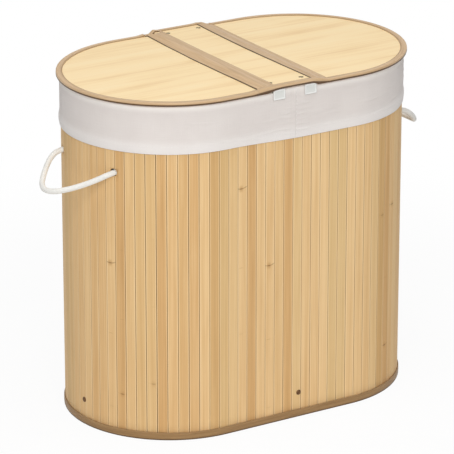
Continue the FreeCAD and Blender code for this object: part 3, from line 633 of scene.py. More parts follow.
# each rope hangs in its own way: millimetres that a point of the route moves out from the wall, round and up
hangs = {
    "left": {2: (-2, 0, 0), 3: (-4.5, 0, 0), 4: (-5, 0, 0), 5: (-3, 0, 0), 7: (0, 0, -1), 8: (0, 0, -2.2),
             9: (0, 0, -2.6), 10: (0, 0, -1.4)},
    "right": {3: (-2, 0, -3), 4: (-4, 0, -6), 5: (-4, 0, -7), 6: (-4, 0, -7), 7: (-4, 0, -6), 8: (-2, 0, -3)},
}


def handlePoints(word):
    points = handleRoute.copy()
    for number, (out, sideways, up) in hangs[word].items():
        points[number] += np.array([-out, sideways, up]) * mm
    return points if word == "left" else points * halfTurn


def smoothLine(points):
    # the NURBS curve that has these points as its control points, as a row of points along it
    curve = bpy.data.curves.new("route", "CURVE")
    curve.dimensions = "3D"
    spline = curve.splines.new("NURBS")
    spline.points.add(len(points) - 1)
    spline.points.foreach_set("co", np.column_stack([points, np.ones(len(points))]).ravel())
    spline.order_u = 3
    spline.use_endpoint_u = True
    curve.resolution_u = 24
    holder = addObject("route", curve)
    bpy.context.view_layer.update()
    mesh = bpy.data.meshes.new_from_object(holder)
    line = np.zeros(len(mesh.vertices) * 3)
    mesh.vertices.foreach_get("co", line)
    bpy.data.objects.remove(holder)
    bpy.data.curves.remove(curve)
    bpy.data.meshes.remove(mesh)
    return line.reshape(-1, 3)


def evenly(line, steps):
    lengths = runLength(line)
    at = np.linspace(0, lengths[-1], steps)
    return np.stack([np.interp(at, lengths, line[:, k]) for k in range(3)], -1), at


def cordTube(name, line, at, radius, reference, closed=False):
    # A tube round a line: at each step a circle of the cord's radius in the plane across the line. The
    # plait lifts the skin by the product of two sets of helices winding opposite ways.
    v = handle
    ahead = unit(np.roll(line, -1, 0) - np.roll(line, 1, 0)) if closed else unit(np.gradient(line, axis=0))
    side = unit(np.cross(ahead, reference))
    up = np.cross(side, ahead)
    turn = np.linspace(0, 2 * math.pi, v["around"], endpoint=False)[None]
    strand = v["plaits"] * turn / 2
    wind = 2 * math.pi * at[:, None] / v["plaitPitch"] * v["plaits"] / 2
    r = radius - v["plaitRise"] + v["plaitRise"] * np.abs(np.sin(strand + wind) * np.sin(strand - wind))
    ring = np.cos(turn)[..., None] * side[:, None] + np.sin(turn)[..., None] * up[:, None]
    points = line[:, None] + r[..., None] * ring
    return surface(name, points, closed, True, not closed, {"cord": grid(turn * radius, at[:, None])})


def makeHandle(word):
    v = handle
    turned = np.ones(3) if word == "left" else halfTurn
    line, at = evenly(smoothLine(handlePoints(word)), v["steps"])
    # the direction square to the loop is the one in which its points spread least
    square = np.linalg.svd(line - line.mean(0), full_matrices=False)[2][2]
    rope = cordTube(f"{word}HandleRope", line, at, v["skin"] / 2, square)
    addPiece(rope, basket, ropeMaterial, [f"{word}_handle_rope"])
    # each stopper knot is a trefoil: the line goes twice round a ring while it winds three times about it
    t = np.linspace(0, 2 * math.pi, v["knotSteps"], endpoint=False)[:, None]
    run = np.linspace(0, v["knotLength"], v["knotSteps"])
    upright = np.array([0, 0, 1])
    for place, angle in v["knotAngles"].items():
        a = math.radians(angle)
        outward = np.array([-math.cos(a), math.sin(a), 0]) * turned
        centre = np.array([-halfStraight, 0, v["knotHeight"]]) * turned + outward * v["knotReach"]
        ring = v["knotRing"] + v["knotTurn"] * v["knotSway"] * np.cos(3 * t)
        path = centre + ring * np.cos(2 * t) * np.cross(upright, outward) + ring * np.sin(2 * t) * upright
        path = path + v["knotTurn"] * np.sin(3 * t) * outward
        knot = cordTube(f"{word}{place.capitalize()}Knot", path, run, v["knotCord"], path - centre, True)
        addPiece(knot, basket, ropeMaterial, [f"{word}_handle_knots"])


for word in ("left", "right"):
    makeHandle(word)
print("rope handles made")

# bamboo slats
slats = {
    "gaps": (0.30 * mm, 0.85 * mm),
    "taper": 0.2 * mm,          # each edge slopes in by this towards the back
    "thickness": 4.0 * mm,
    "edgeRound": 0.4 * mm,
    "low": 0.5 * mm,
    "high": 547.8 * mm,
    "straightCount": 14,
    "endCount": 32,
    "wrap": 4.4 * mm,           # how far past the end of a straight its last slat reaches
    "rows": 22,
    "ringEvery": (190 * mm, 270 * mm),
    "ringGap": 240 * mm,        # between the rings of the slats listed below
    "ringRise": 0.22 * mm,
    "ringWidth": 2 * mm,
    "ringRows": (-6, -2.5, -1, 0, 1, 2.5, 6),   # millimetres from a ring, where its rows of points lie
    "ringLow": (40, 230),       # millimetres, where an unlisted slat's lower ring lies
    "ringFaint": (0.0, 0.03),   # how strongly its rings show
    "otherRing": 0.1,           # a slat's second ring, as a share of its first
    "paleDark": (0.0, 0.5),     # limits of an unlisted slat's darkness
    "faceStep": 0.7 * mm,
    "holeRadius": 6.2 * mm,
    "holeAngles": (19.0, -29.0),
    "holeHeight": 436 * mm,
    "holeCut": 16 * mm,         # length of the cutter, about the middle of the slats
    # darker slats, and slats with a plain ring at a height, by their number along the row
    "dark": {
        "front": {2: 0.62, 6: 0.60},
        "left_end": {18: 0.40, 21: 0.64, 25: 0.60, 28: 0.46, 30: 0.60, 31: 0.36},
        "right_end": {3: 0.66, 4: 0.62, 18: 0.6, 24: 0.65},
        "back": {3: 0.62, 9: 0.6},
    },
    # every other slat's darkness, as its mean and spread
    "tones": {"front": (0.20, 0.06), "back": (0.26, 0.10),
              "left_end": (0.26, 0.10), "right_end": (0.24, 0.08)},
    "rings": {
        "front": {1: (403, 0.95), 4: (267, 1.0)},
        "left_end": {20: (287, 1.0), 21: (71, 0.8), 24: (94, 0.5)},
        "right_end": {5: (314, 0.9), 3: (305, 0.5), 4: (79, 0.9)},
        "back": {5: (350, 0.9), 11: (150, 0.8)},
    },
    "seeds": {"front": 11, "back": 12, "left_end": 13, "right_end": 14},
    "names": {"front": "frontSlats", "back": "backSlats",
              "left_end": "leftEndSlats", "right_end": "rightEndSlats"},
}


def slatPlaces(row):
    # where each slat of a row stands, counted along the wall from the middle of the front
    v = slats
    straightStep = 2 * halfStraight / v["straightCount"]
    endStep = math.pi * wallRadius / v["endCount"]
    starts = {"front": -halfStraight, "right_end": halfStraight, "back": halfStraight + math.pi * wallRadius,
              "left_end": 3 * halfStraight + math.pi * wallRadius}
    count, step = (v["straightCount"], straightStep) if row in ("front", "back") else (v["endCount"], endStep)
    return starts[row] + v["wrap"] + (np.arange(count) + 0.5) * step


def makeSlats(row):
    # Each slat is one closed strip: a flat section with eased front edges, carried up the wall. Rows of
    # points crowd round the bamboo's rings, where the face swells a little.
    v = slats
    rng = np.random.default_rng(v["seeds"][row])
    along = slatPlaces(row)
    count = along.size
    if row in ("front", "back"):
        pitch = 2 * halfStraight / v["straightCount"]
    else:
        pitch = 2 * wallRadius * math.tan(math.pi / 2 / v["endCount"])
    halfWidth = (pitch - rng.uniform(*v["gaps"], count)) / 2
    tone = np.clip(rng.normal(*v["tones"][row], count), *v["paleDark"])
    for number, value in v["dark"][row].items():
        tone[number] = value
    low = rng.uniform(*v["ringLow"], count) * mm
    gap = rng.uniform(*v["ringEvery"], count)
    shown = rng.uniform(*v["ringFaint"], count)
    strongest = np.zeros(count, int)
    for number, (height, strength) in v["rings"][row].items():
        strongest[number] = height * mm > v["ringGap"]
        low[number] = height * mm - v["ringGap"] * strongest[number]
        gap[number] = v["ringGap"]
        shown[number] = strength
    heights = np.stack([low, low + gap], 1)                                        # (count, 2)
    near = np.array(v["ringRows"]) * mm
    z = np.concatenate([
        np.broadcast_to(np.linspace(v["low"], v["high"], v["rows"]), (count, v["rows"])),
        (heights[:, :, None] + near).reshape(count, -1),
    ], 1)
    z = np.sort(np.clip(z, v["low"], v["high"]), 1)                                # (count, rows)
    fromRings = z[:, :, None] - heights[:, None, :]
    nearest = np.abs(fromRings).argmin(2)
    fromRing = np.take_along_axis(fromRings, nearest[..., None], 2)[..., 0]
    only = np.where(nearest == strongest[:, None], 1.0, v["otherRing"])
    t, r = v["thickness"], v["edgeRound"]
    arc = np.radians([0, 30, 60, 90])
    inset = np.concatenate([[v["taper"]], r * (1 - np.cos(arc)), [r + v["faceStep"]]])
    depth = np.concatenate([[0], t - r + r * np.sin(arc), [t]])
    side = np.concatenate([np.ones(6), [0], -np.ones(6)])
    inset = np.concatenate([inset, [0], inset[::-1]])
    depth = np.concatenate([depth, [t], depth[::-1]])
    across = side * (halfWidth[:, None] - inset)                                    # (count, section)
    face = smoothStep(0.6 * t, t, depth)
    swell = v["ringRise"] * shown[:, None] * only * np.exp(-((fromRing / v["ringWidth"]) ** 2))
    x, y, nx, ny = ovalPlace(along, wallRadius - t)
    out = depth[None, None, :] + swell[:, :, None] * face
    points = np.zeros((count, z.shape[1], side.size, 3))
    points[..., 0] = x[:, None, None] - ny[:, None, None] * across[:, None, :] + nx[:, None, None] * out
    points[..., 1] = y[:, None, None] + nx[:, None, None] * across[:, None, :] + ny[:, None, None] * out
    points[..., 2] = z[:, :, None]
    seeds = rng.uniform(0, 1, count)
    maps = {
        "grain": grid(across[:, None, :], points[..., 2]),
        "tone": grid(tone[:, None, None], seeds[:, None, None]),
        "ring": grid(fromRing[:, :, None], (shown[:, None] * only)[:, :, None]),
    }
    piece = surface(v["names"][row], points, False, True, True, maps)
    if row.endswith("end"):
        boreHandleHoles(piece, -1 if row == "left_end" else 1)
    return addPiece(piece, basket, slatMaterial, [f"{row}_slats"])


def boreHandleHoles(piece, sign):
    # round holes for the rope, cut square to the wall
    v = slats
    middle = wallRadius - v["thickness"] / 2
    cutters = bmesh.new()
    for angle in v["holeAngles"]:
        a = math.radians(angle)
        outward = Vector((-math.cos(a), math.sin(a), 0)) * (1 if sign < 0 else -1)
        centre = Vector((sign * halfStraight, 0, v["holeHeight"])) + outward * middle
        place = Matrix.Translation(centre) @ outward.to_track_quat("Z", "Y").to_matrix().to_4x4()
        bmesh.ops.create_cone(cutters, cap_ends=True, segments=40, radius1=v["holeRadius"],
                              radius2=v["holeRadius"], depth=v["holeCut"], matrix=place)
    mesh = bpy.data.meshes.new("holeCutter")
    cutters.to_mesh(mesh)
    cutters.free()
    cutter = addObject("holeCutter", mesh)
    cut = piece.modifiers.new("handleHoles", "BOOLEAN")
    cut.operation = "DIFFERENCE"
    cut.solver = "EXACT"
    cut.object = cutter
    applied(piece)
    bpy.data.objects.remove(cutter)
    bpy.data.meshes.remove(mesh)


for row in ("front", "back", "left_end", "right_end"):
    makeSlats(row)
print("slats made")


# strips carried round the oval
def ovalStrip(name, along, outline, material, body, replaced, closed, wave):
    # outline is the closed section of the strip as (radius, height) rows, carried along the oval. wave
    # gives extra radius and height for each step and each point of the section.
    section = np.array(outline)
    radius = np.broadcast_to(section[None, :, 0], (along.size, len(section))).copy()
    height = np.broadcast_to(section[None, :, 1], (along.size, len(section))).copy()
    extraRadius, extraHeight = wave(along[:, None], radius, height)
    radius, height = radius + extraRadius, height + extraHeight
    x, y, _, _ = ovalPlace(along[:, None], radius)
    points = np.stack([x, y, height], -1)
    uv = grid(along[:, None], runLength(section)[None])
    piece = surface(name, points, closed, True, not closed, {"strip": uv})
    return addPiece(piece, body, material, replaced)


def roundedCorner(centre, radius, start, stop, steps=4):
    a = np.radians(np.linspace(start, stop, steps))
    return [(centre[0] + radius * math.cos(t), centre[1] + radius * math.sin(t)) for t in a]


footBand = {
    "inside": 170.2 * mm,
    "outside": 171.9 * mm,
    "height": 12.5 * mm,
    "edge": 0.8 * mm,
    "bulge": 0.15 * mm,
    "bulgeAt": (0.62, 0.34),    # shares of the height
    "waver": 0.45 * mm,         # of its top edge
    "drop": 0.3 * mm,
    "steps": 420,
}


def makeFootBand():
    # folded tape round the foot: flat back, rounded outer edges, a little uneven along its top
    v = footBand
    e = v["edge"]
    outline = [(v["inside"], v["height"])]
    outline += roundedCorner((v["outside"] - e, v["height"] - e), e, 90, 0)
    outline += [(v["outside"] + v["bulge"], v["height"] * share) for share in v["bulgeAt"]]
    outline += roundedCorner((v["outside"] - e, e), e, 0, -90)
    outline += [(v["inside"], 0.0)]
    along = np.linspace(0, perimeter, v["steps"], endpoint=False)

    def wave(s, radius, height):
        top = smoothStep(0.3 * v["height"], v["height"], height)
        return 0.0 * radius, v["waver"] * wander(s, 5, 0.09) * top - v["drop"] * top

    ovalStrip("footBand", along, outline, footMaterial, basket, ["foot_band"], True, wave)


makeFootBand()

rim = {
    "outside": 176.8 * mm,
    "inside": 166.5 * mm,
    "shortInside": 168.5 * mm,  # the bridge's lower lip is short, clear of the crossbars
    "low": 550.3 * mm,
    "lip": 1.2 * mm,
    "lowerLip": 0.5 * mm,
    "board": 4.0 * mm,
    "edge": 1.8 * mm,
    "bevel": (1.2 * mm, 0.9 * mm),  # its lower outside corner slants in under the board
    "boardRadius": 176.1 * mm,
    "rise": 4.4 * mm,           # from the lids up to the bridge
    "bridgeEnd": 34.0 * mm,
    "lidStart": 62.3 * mm,
    "wander": 0.9 * mm,         # how far its sewn inner edge strays
    # x where the rim's top and bottom begin and end their climb from each lid to the bridge
    "top": {
        "front": ((-78 * mm, -41 * mm), (68 * mm, 43 * mm)),
        "back": ((-53 * mm, -42.5 * mm), (60.5 * mm, 45.5 * mm)),
    },
    "bottom": {
        "front": ((-50 * mm, -20 * mm), (50 * mm, 33 * mm)),
        "back": ((-57 * mm, -36 * mm), (57 * mm, 36 * mm)),
    },
    # x, half width and height of puckers in its top
    "puckers": {"front": (), "back": ((-44 * mm, 5 * mm, 1.3 * mm), (37 * mm, 4 * mm, 0.7 * mm))},
}


def climb(x, steps):
    # 0 on either lid, 1 on the bridge, smooth between
    (leftStart, leftEnd), (rightStart, rightEnd) = steps
    return smoothStep(leftStart, leftEnd, x) * smoothStep(rightStart, rightEnd, x)


def rimOutline(lowerInside):
    # a U of tape over the edge of a board: lips above and below, rounded outside
    v = rim
    low, high, e = v["low"], v["low"] + v["board"] + v["lowerLip"] + v["lip"], v["edge"]
    inward, upward = v["bevel"]
    outline = [(v["inside"], high - v["lip"]), (v["inside"] + 0.1 * mm, high - 0.3 * mm)]
    outline += [(v["inside"] + d, high) for d in (0.7 * mm, 4 * mm, 7.5 * mm)]
    outline += roundedCorner((v["outside"] - e, high - e), e, 90, 0, 5)
    outline += [(v["outside"], low + upward), (v["outside"] - 0.3 * inward, low + 0.4 * upward)]
    outline += [(v["outside"] - 0.7 * inward, low + 0.1 * upward), (v["outside"] - inward, low)]
    outline += [(lowerInside + 0.5 * mm, low)]
    outline += [(lowerInside, low + 0.2 * mm), (lowerInside, low + v["lowerLip"])]
    outline += [(v["boardRadius"], low + v["lowerLip"]), (v["boardRadius"], high - v["lip"])]
    return outline


def rimWave(place, seed):
    # the upper half of the section climbs with the top, the lower half with the bottom; the sewn edge strays
    v = rim

    def wave(s, radius, height):
        x = ovalPlace(s, v["outside"])[0]
        upper = smoothStep(v["low"] + 2.2 * mm, v["low"] + 4.2 * mm, height)
        rise = v["rise"] * (upper * climb(x, v["top"][place]) + (1 - upper) * climb(x, v["bottom"][place]))
        for middle, halfWidth, size in v["puckers"][place]:
            rise = rise + upper * size * np.exp(-(((x - middle) / halfWidth) ** 2))
        inner = 1 - smoothStep(v["inside"] + 1 * mm, v["inside"] + 9 * mm, radius)
        stray = v["wander"] * wander(s, seed, 0.16) * inner
        outer = smoothStep(v["boardRadius"], v["outside"], radius)
        return stray - 0.25 * mm * outer * (1 + wander(s, seed + 9, 0.07)), rise

    return wave


def makeRim():
    # lid bindings, the two bindings of the bridge, and the tape's folded ends that link them
    v = rim
    half = perimeter / 2
    start = v["lidStart"]
    lidSpans = {"left": (half + start, perimeter - start), "right": (start, half - start)}
    for word, body in lidOf.items():
        along = np.linspace(*lidSpans[word], 300)
        ovalStrip(f"{word}LidBinding", along, rimOutline(v["inside"]), rimMaterial, body,
                  [f"{word}_lid_binding"], False, rimWave("front", 21))
    for place in ("front", "back"):
        along = np.linspace(-v["bridgeEnd"], v["bridgeEnd"], 60) + (half if place == "back" else 0)
        ovalStrip(f"bridge{place.capitalize()}Binding", along, rimOutline(v["shortInside"]), rimMaterial,
                  basket, [f"bridge_{place}_binding"], False, rimWave(place, 21))
        for word in ("left", "right"):
            x = sideSign[word] * np.linspace(v["bridgeEnd"], v["lidStart"], 40)
            along = np.sort(x if place == "front" else half - x)
            # the back-left link takes the painted crevice shade on its inner edge
            inCrevice = word == "left" and place == "back"
            link = ovalStrip(f"{word}{place.capitalize()}TapeFold", along, rimOutline(v["shortInside"]),
                             creviceShadeMaterial if inCrevice else rimMaterial, None,
                             [f"{word}_hinge_tape"], False, rimWave(place, 21))
            turnWithLid(link)


def turnWithLid(piece):
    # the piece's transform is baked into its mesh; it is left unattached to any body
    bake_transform(piece)


makeRim()
print("foot band and rim made")

hinge = {
    "bridgeEnd": 34.0 * mm,
    "lidEnd": 62.0 * mm,
    "bridgeTop": 560.5 * mm,
    "lidTop": 556.1 * mm,
    "steps": ((-60.5 * mm, -45.5 * mm), (60.5 * mm, 45.5 * mm)),
    "halfLength": 171.5 * mm,   # the ends sink into the rim
    "sinkFrom": 166.5 * mm,
    "sink": 0.7 * mm,
    # x between which the left tape's back end stops short of its folded link, in a groove
    "grooveSteps": ((-57 * mm, -52 * mm), (-34 * mm, -40 * mm)),
    "grooveEnd": 161.6 * mm,
    "grooveRound": 3.0 * mm,
    "grooveSink": 1.4 * mm,
    # how far each tape's two edges lie off their line towards +X: at the back, at the front
    "shift": {
        "left": {"bridge": (1.0 * mm, 4.0 * mm), "lid": (3.3 * mm, 5.0 * mm)},
        "right": {"bridge": (1.3 * mm, 3.5 * mm), "lid": (2.5 * mm, 4.0 * mm)},
    },
    "shiftSpan": (60 * mm, -171 * mm),
    "thickness": 1.2 * mm,
    "bow": 2.8 * mm,            # how far the bowed edge goes in the middle
    "stray": 0.35 * mm,
    "ripple": 0.22 * mm,
    "rippleFade": 20 * mm,
}


def makeHingeTape(word):
    # A strip over the gap between bridge and lid: across it the height steps smoothly from the bridge down
    # to the lid, along it the strip lies level and its ends sink into the rim.
    v = hinge
    sign = sideSign[word]
    t = v["thickness"]
    x = np.linspace(v["bridgeEnd"], v["lidEnd"], 36)[None]
    groove = climb(sign * x, v["grooveSteps"]) if word == "left" else 0 * x
    backEnd = v["halfLength"] - (v["halfLength"] - v["grooveEnd"]) * groove
    share = np.concatenate([np.linspace(0, 0.98, 170), np.linspace(0.982, 1, 12)])[:, None]
    y = -v["halfLength"] + (backEnd + v["halfLength"]) * share
    # each tape bows at its left edge: the left one on its lid, the right one on the bridge
    bow = np.cos(np.clip(y / v["halfLength"], -1, 1) * math.pi / 2) * v["bow"]
    if word == "left":
        bowed = smoothStep(52 * mm, v["lidEnd"], x)
    else:
        bowed = -(1 - smoothStep(v["bridgeEnd"], 44 * mm, x))
    seed = 31 if word == "left" else 32
    stray = v["stray"] * wander(y, seed + 10, 0.08)
    toFront = smoothStep(*v["shiftSpan"], y)
    toLid = (x - v["bridgeEnd"]) / (v["lidEnd"] - v["bridgeEnd"])
    (bridgeBack, bridgeFront), (lidBack, lidFront) = v["shift"][word]["bridge"], v["shift"][word]["lid"]
    shift = (1 - toLid) * (bridgeBack + (bridgeFront - bridgeBack) * toFront)
    shift = shift + toLid * (lidBack + (lidFront - lidBack) * toFront)
    place = sign * (x + bowed * bow + np.abs(bowed) * stray) + shift
    top = v["lidTop"] + (v["bridgeTop"] - v["lidTop"]) * climb(place, v["steps"])
    sunk = v["sink"] * smoothStep(v["sinkFrom"], v["halfLength"], np.abs(y))
    sunk = sunk + v["grooveSink"] * groove * smoothStep(backEnd - v["grooveRound"], backEnd, y) ** 2
    calm = 1 - smoothStep(v["sinkFrom"] - v["rippleFade"], v["sinkFrom"], np.abs(y))
    ripple = v["ripple"] * np.maximum(softNoise(y, x, seed, 0.05, 0.03), 0) * calm
    points = grid(place, y, top - t / 2 - sunk + ripple)
    uv = grid(y, x)
    piece = thicken(surface(f"{word}HingeTape", points, maps={"strip": uv}), t)
    addPiece(piece, None, hingeMaterials[word], [f"{word}_hinge_tape"])
    turnWithLid(piece)


for word in ("left", "right"):
    makeHingeTape(word)
print("hinge tapes made")

# liner: cuff, bags, tabs
cuff = {
    "radius": 171.05 * mm,
    "foldHeight": 548.55 * mm,
    "foldTurn": 1.6 * mm,
    "innerRadius": 158.3 * mm,
    "slotRadius": 168.2 * mm,
    "slot": (18.1 * mm, 38.9 * mm),
    "low": 472.4 * mm,
    "thickness": 1.1 * mm,
    "slack": 0.5 * mm,          # slow waves in the cloth
    "ease": (0.02, 0.25),       # shares of the drop between which the slack sets in
    "bulge": 2.4 * mm,          # over the hem at both round ends
    "bulgeUp": 9 * mm,
    "bulgeHalf": 8 * mm,
    "bulgeReach": 0.20,
    "hem": 14 * mm,
    "hemRise": 0.25 * mm,
    "sag": 3.2 * mm,            # the hem hangs lower along the front and the right
    "sagWaver": 0.6 * mm,
    "sagSpan": (-110 * mm, 20 * mm, 200 * mm, 310 * mm),
    "creases": 46,
    "seam": 7.2 * mm,           # upright seam, along the wall from the middle of the front
    "seamRise": 0.4 * mm,
    "seamStep": 0.5 * mm,
    "seamFade": (12 * mm, 45 * mm),
    # under the bridge the fold bulges up to the rim, between the same kind of steps as the rim's
    "lift": 3.6 * mm,
    "liftDown": 26 * mm,
    "liftSteps": {
        "front": ((-32 * mm, -6 * mm), (52 * mm, 34 * mm)),
        "back": ((-52 * mm, -34 * mm), (52 * mm, 34 * mm)),
    },
    "seamStitch": {"length": 3.4 * mm, "thickness": 0.8 * mm, "every": 6.2 * mm},
    "hemStitch": {"length": 2.9 * mm, "thickness": 0.42 * mm, "every": 5.2 * mm},
}
rng = np.random.default_rng(cuff["creases"])
count = cuff["creases"]
# each crease: where along, where up, half length, half width, slope and height
creaseList = np.column_stack([
    np.concatenate([
        rng.uniform(-60, 370, count * 2 // 3), rng.uniform(0, perimeter / mm, count - count * 2 // 3),
    ]),
    rng.uniform(480, 538, count), rng.uniform(12, 38, count), rng.uniform(1.2, 2.2, count),
    rng.uniform(-0.08, 0.14, count), rng.choice([0.5, 0.38, 0.3, -0.3], count),
])
# puckers beside the seam
creaseList = np.concatenate([creaseList, np.column_stack([
    np.tile([-6.0, 20.0], 8), np.linspace(481, 540, 16) + rng.uniform(-1, 1, 16), rng.uniform(6, 16, 16),
    np.full(16, 1.3), rng.uniform(-0.1, 0.1, 16), np.full(16, 0.46),
])]) * np.array([mm, mm, mm, mm, 1, mm])


def cuffSkin(s, z):
    # Radius and height of the cloth's middle at a place on the outside, from the height it would have if it
    # hung plumb: slow waves, narrow slanting creases, the seam's lap, the bulge over the hem and its sag.
    v = cuff
    hang = (v["foldHeight"] - z) / (v["foldHeight"] - v["low"])
    ease = smoothStep(*v["ease"], hang)
    s = np.mod(s + perimeter / 2, perimeter) - perimeter / 2
    radius = v["radius"] + ease * v["slack"] * np.maximum(softNoise(s, z, 51, 0.30, 0.05), 0) ** 2
    for place, up, halfLength, halfWidth, slope, size in creaseList:
        gap = np.mod(s - place + perimeter / 2, perimeter) - perimeter / 2
        ridge = np.exp(-((gap / halfLength) ** 2) - ((z - up - slope * gap) / halfWidth) ** 2)
        radius = radius + ease * size * ridge
    past = s - v["seam"]
    lap = smoothStep(-v["seamStep"], v["seamStep"], past) * (1 - smoothStep(*v["seamFade"], past))
    radius = radius + v["seamRise"] * lap
    atHem = np.exp(-(((z - v["low"] - v["bulgeUp"]) / v["bulgeHalf"]) ** 2))
    atEnds = np.exp(-(((np.mod(s, perimeter / 2) - perimeter / 4) / v["bulgeReach"]) ** 2))
    radius = radius + v["bulge"] * atHem * atEnds * (0.75 + 0.25 * wander(s, 52, 0.2))
    hemTop = v["low"] + v["hem"]
    radius = radius + v["hemRise"] * (1 - smoothStep(hemTop - 1 * mm, hemTop + 1 * mm, z))
    a, b, c, d = v["sagSpan"]
    sag = v["sag"] * smoothStep(a, b, s) * (1 - smoothStep(c, d, s))
    sag = sag + v["sagWaver"] * wander(s, 53, 0.22)
    lifted = cuffLift(s) * smoothStep(v["foldHeight"] - v["liftDown"], v["foldHeight"], z)
    return radius, z - sag * smoothStep(0.3, 1.0, hang) + lifted


def cuffLift(s):
    x, y, _, _ = ovalPlace(s, cuff["radius"])
    front, back = (climb(x, cuff["liftSteps"][place]) for place in ("front", "back"))
    return cuff["lift"] * np.where(y < 0, front, back)


def makeCuff():
    # The cuff's middle surface: level fold over the top edge, a rounded turn, then down outside the wall.
    v = cuff
    half = perimeter / 2
    lines = [middle + sign * edge + side for middle in (0, half) for sign in (-1, 1) for edge in v["slot"]
             for side in (-0.15 * mm, 0.15 * mm)]
    lines += [v["seam"] + side for side in (-2 * mm, -0.5 * mm, 0, 0.5 * mm, 2 * mm)]
    along = np.concatenate([np.linspace(0, perimeter, 400, endpoint=False), lines])
    along = np.unique(np.mod(along, perimeter))[:, None]
    fromMiddle = np.abs(np.mod(along + half / 2, half) - half / 2)
    inSlot = (fromMiddle > v["slot"][0]) & (fromMiddle < v["slot"][1])
    inner = np.where(inSlot, v["slotRadius"], v["innerRadius"])
    turn = np.radians(np.linspace(90, 0, 6))[None]
    outer = v["radius"] - v["foldTurn"]
    foldRadius = inner + (outer - inner) * np.linspace(0, 1, 5)[None, :-1]
    turnRadius = outer + v["foldTurn"] * np.cos(turn) + 0 * along
    turnHeight = v["foldHeight"] - v["foldTurn"] * (1 - np.sin(turn)) + 0 * along
    down = np.linspace(v["foldHeight"] - v["foldTurn"], v["low"], 84)[None, 1:]
    downRadius, downHeight = cuffSkin(along, down + 0 * along)
    radius = np.concatenate([foldRadius, turnRadius, downRadius], 1)
    lifted = cuffLift(along)
    height = np.concatenate([v["foldHeight"] + lifted + 0 * foldRadius, turnHeight + lifted, downHeight], 1)
    x, y, _, _ = ovalPlace(along, radius)
    steps = np.concatenate([[0], np.cumsum(np.hypot(np.diff(radius[0]), np.diff(height[0])))])
    uv = grid(along, steps[None])
    fromSeam = np.abs(np.mod(along - v["seam"] + half, perimeter) - half)
    seamMap = grid(fromSeam, height)
    piece = addCloth("linerCuff", grid(x, y, height), {"cloth": uv, "seam": seamMap}, v["thickness"],
                     cuffMaterial, "liner_cuff", True)


def stitches(name, centre, ahead, outward, length, thickness):
    # One small bead of thread for each centre: a spindle whose half thickness at a share t of its half
    # length is the square root of 1 - t squared.
    t = np.array([-1, -0.8, 0, 0.8, 1])[None, :, None, None]
    turn = np.linspace(0, 2 * math.pi, 6, endpoint=False)[None, None, :, None]
    ahead, outward = ahead[:, None, None], outward[:, None, None]
    aside = np.cross(ahead, outward)
    r = thickness / 2 * np.sqrt(1 - t ** 2)
    points = centre[:, None, None] + ahead * t * length / 2
    points = points + r * (np.cos(turn) * aside + np.sin(turn) * outward)
    uv = grid(points[..., 2], points[..., 0])
    return surface(name, points, False, True, False, {"cloth": uv})


def makeCuffStitches():
    v = cuff
    hem, seam = v["hemStitch"], v["seamStitch"]
    around = np.arange(0, perimeter - hem["every"] / 2, hem["every"])
    up = np.arange(v["low"] + 3 * mm, v["foldHeight"] - 5 * mm, seam["every"])
    rows = {
        "cuffHemStitches": (hem, around, v["low"] + v["hem"] - 2 * mm),
        "cuffSeamStitches": (seam, v["seam"] + 1.2 * mm, up),
    }
    for name, (stitch, s, z) in rows.items():
        s, z = np.broadcast_arrays(s, z)
        radius, height = cuffSkin(s, z)
        x, y, nx, ny = ovalPlace(s, radius + v["thickness"] / 2 + 0.05 * mm)
        outward = grid(nx, ny, 0)
        upright = np.broadcast_to([0.0, 0.0, 1.0], outward.shape)
        ahead = np.cross(upright, outward) if name == "cuffHemStitches" else upright
        piece = stitches(name, grid(x, y, height), ahead, outward, stitch["length"], stitch["thickness"])
        addPiece(piece, basket, threadMaterial)


makeCuff()
makeCuffStitches()

bag = {
    "innerX": 17.75 * mm,       # middle of the divider's cloth
    "sideX": 18.6 * mm,
    "radius": 149.25 * mm,
    "topRadius": 158.35 * mm,
    "shoulder": (490 * mm, 513 * mm),   # heights between which it widens
    "floor": 46.45 * mm,
    "top": 547.6 * mm,
    "slotTop": 534.2 * mm,
    "slotX": 38.9 * mm,
    "slotStep": 0.15 * mm,      # half width of the step at the slot's edge
    "thickness": 1.2 * mm,
    "fold": 4.5 * mm,
    "foldsFade": (430 * mm, 505 * mm),
    "crease": 1.2 * mm,
    "barOuter": 39.3 * mm,
    "barTop": 554.45 * mm,
    "barRound": 1.2 * mm,
    "barSide": 545 * mm,        # top of the sleeve's straight sides
    "sleeveLow": 519.5 * mm,
    "lean": 6.3 * mm,           # of the divider's folds
    "leanFade": (420 * mm, 500 * mm),
    "floorLift": 0.8 * mm,
    "seeds": {"left": 61, "right": 71},
    "sideHeight": 0.505,
    "dividerFlat": (0.316, 0.562),
    "slack": {"side": 0.965, "divider": 0.955},     # made area as a share of the flat one
}


def bagRadius(z):
    v = bag
    return v["radius"] + (v["topRadius"] - v["radius"]) * smoothStep(*v["shoulder"], z)


def addBagCloth(word, part, points, uv, rest, held="hung", **sizes):
    piece = addCloth(f"{word}Bag{part.capitalize()}", points, {"cloth": uv}, bag["thickness"], bagMaterial,
                     f"{word}_bag_{part}")


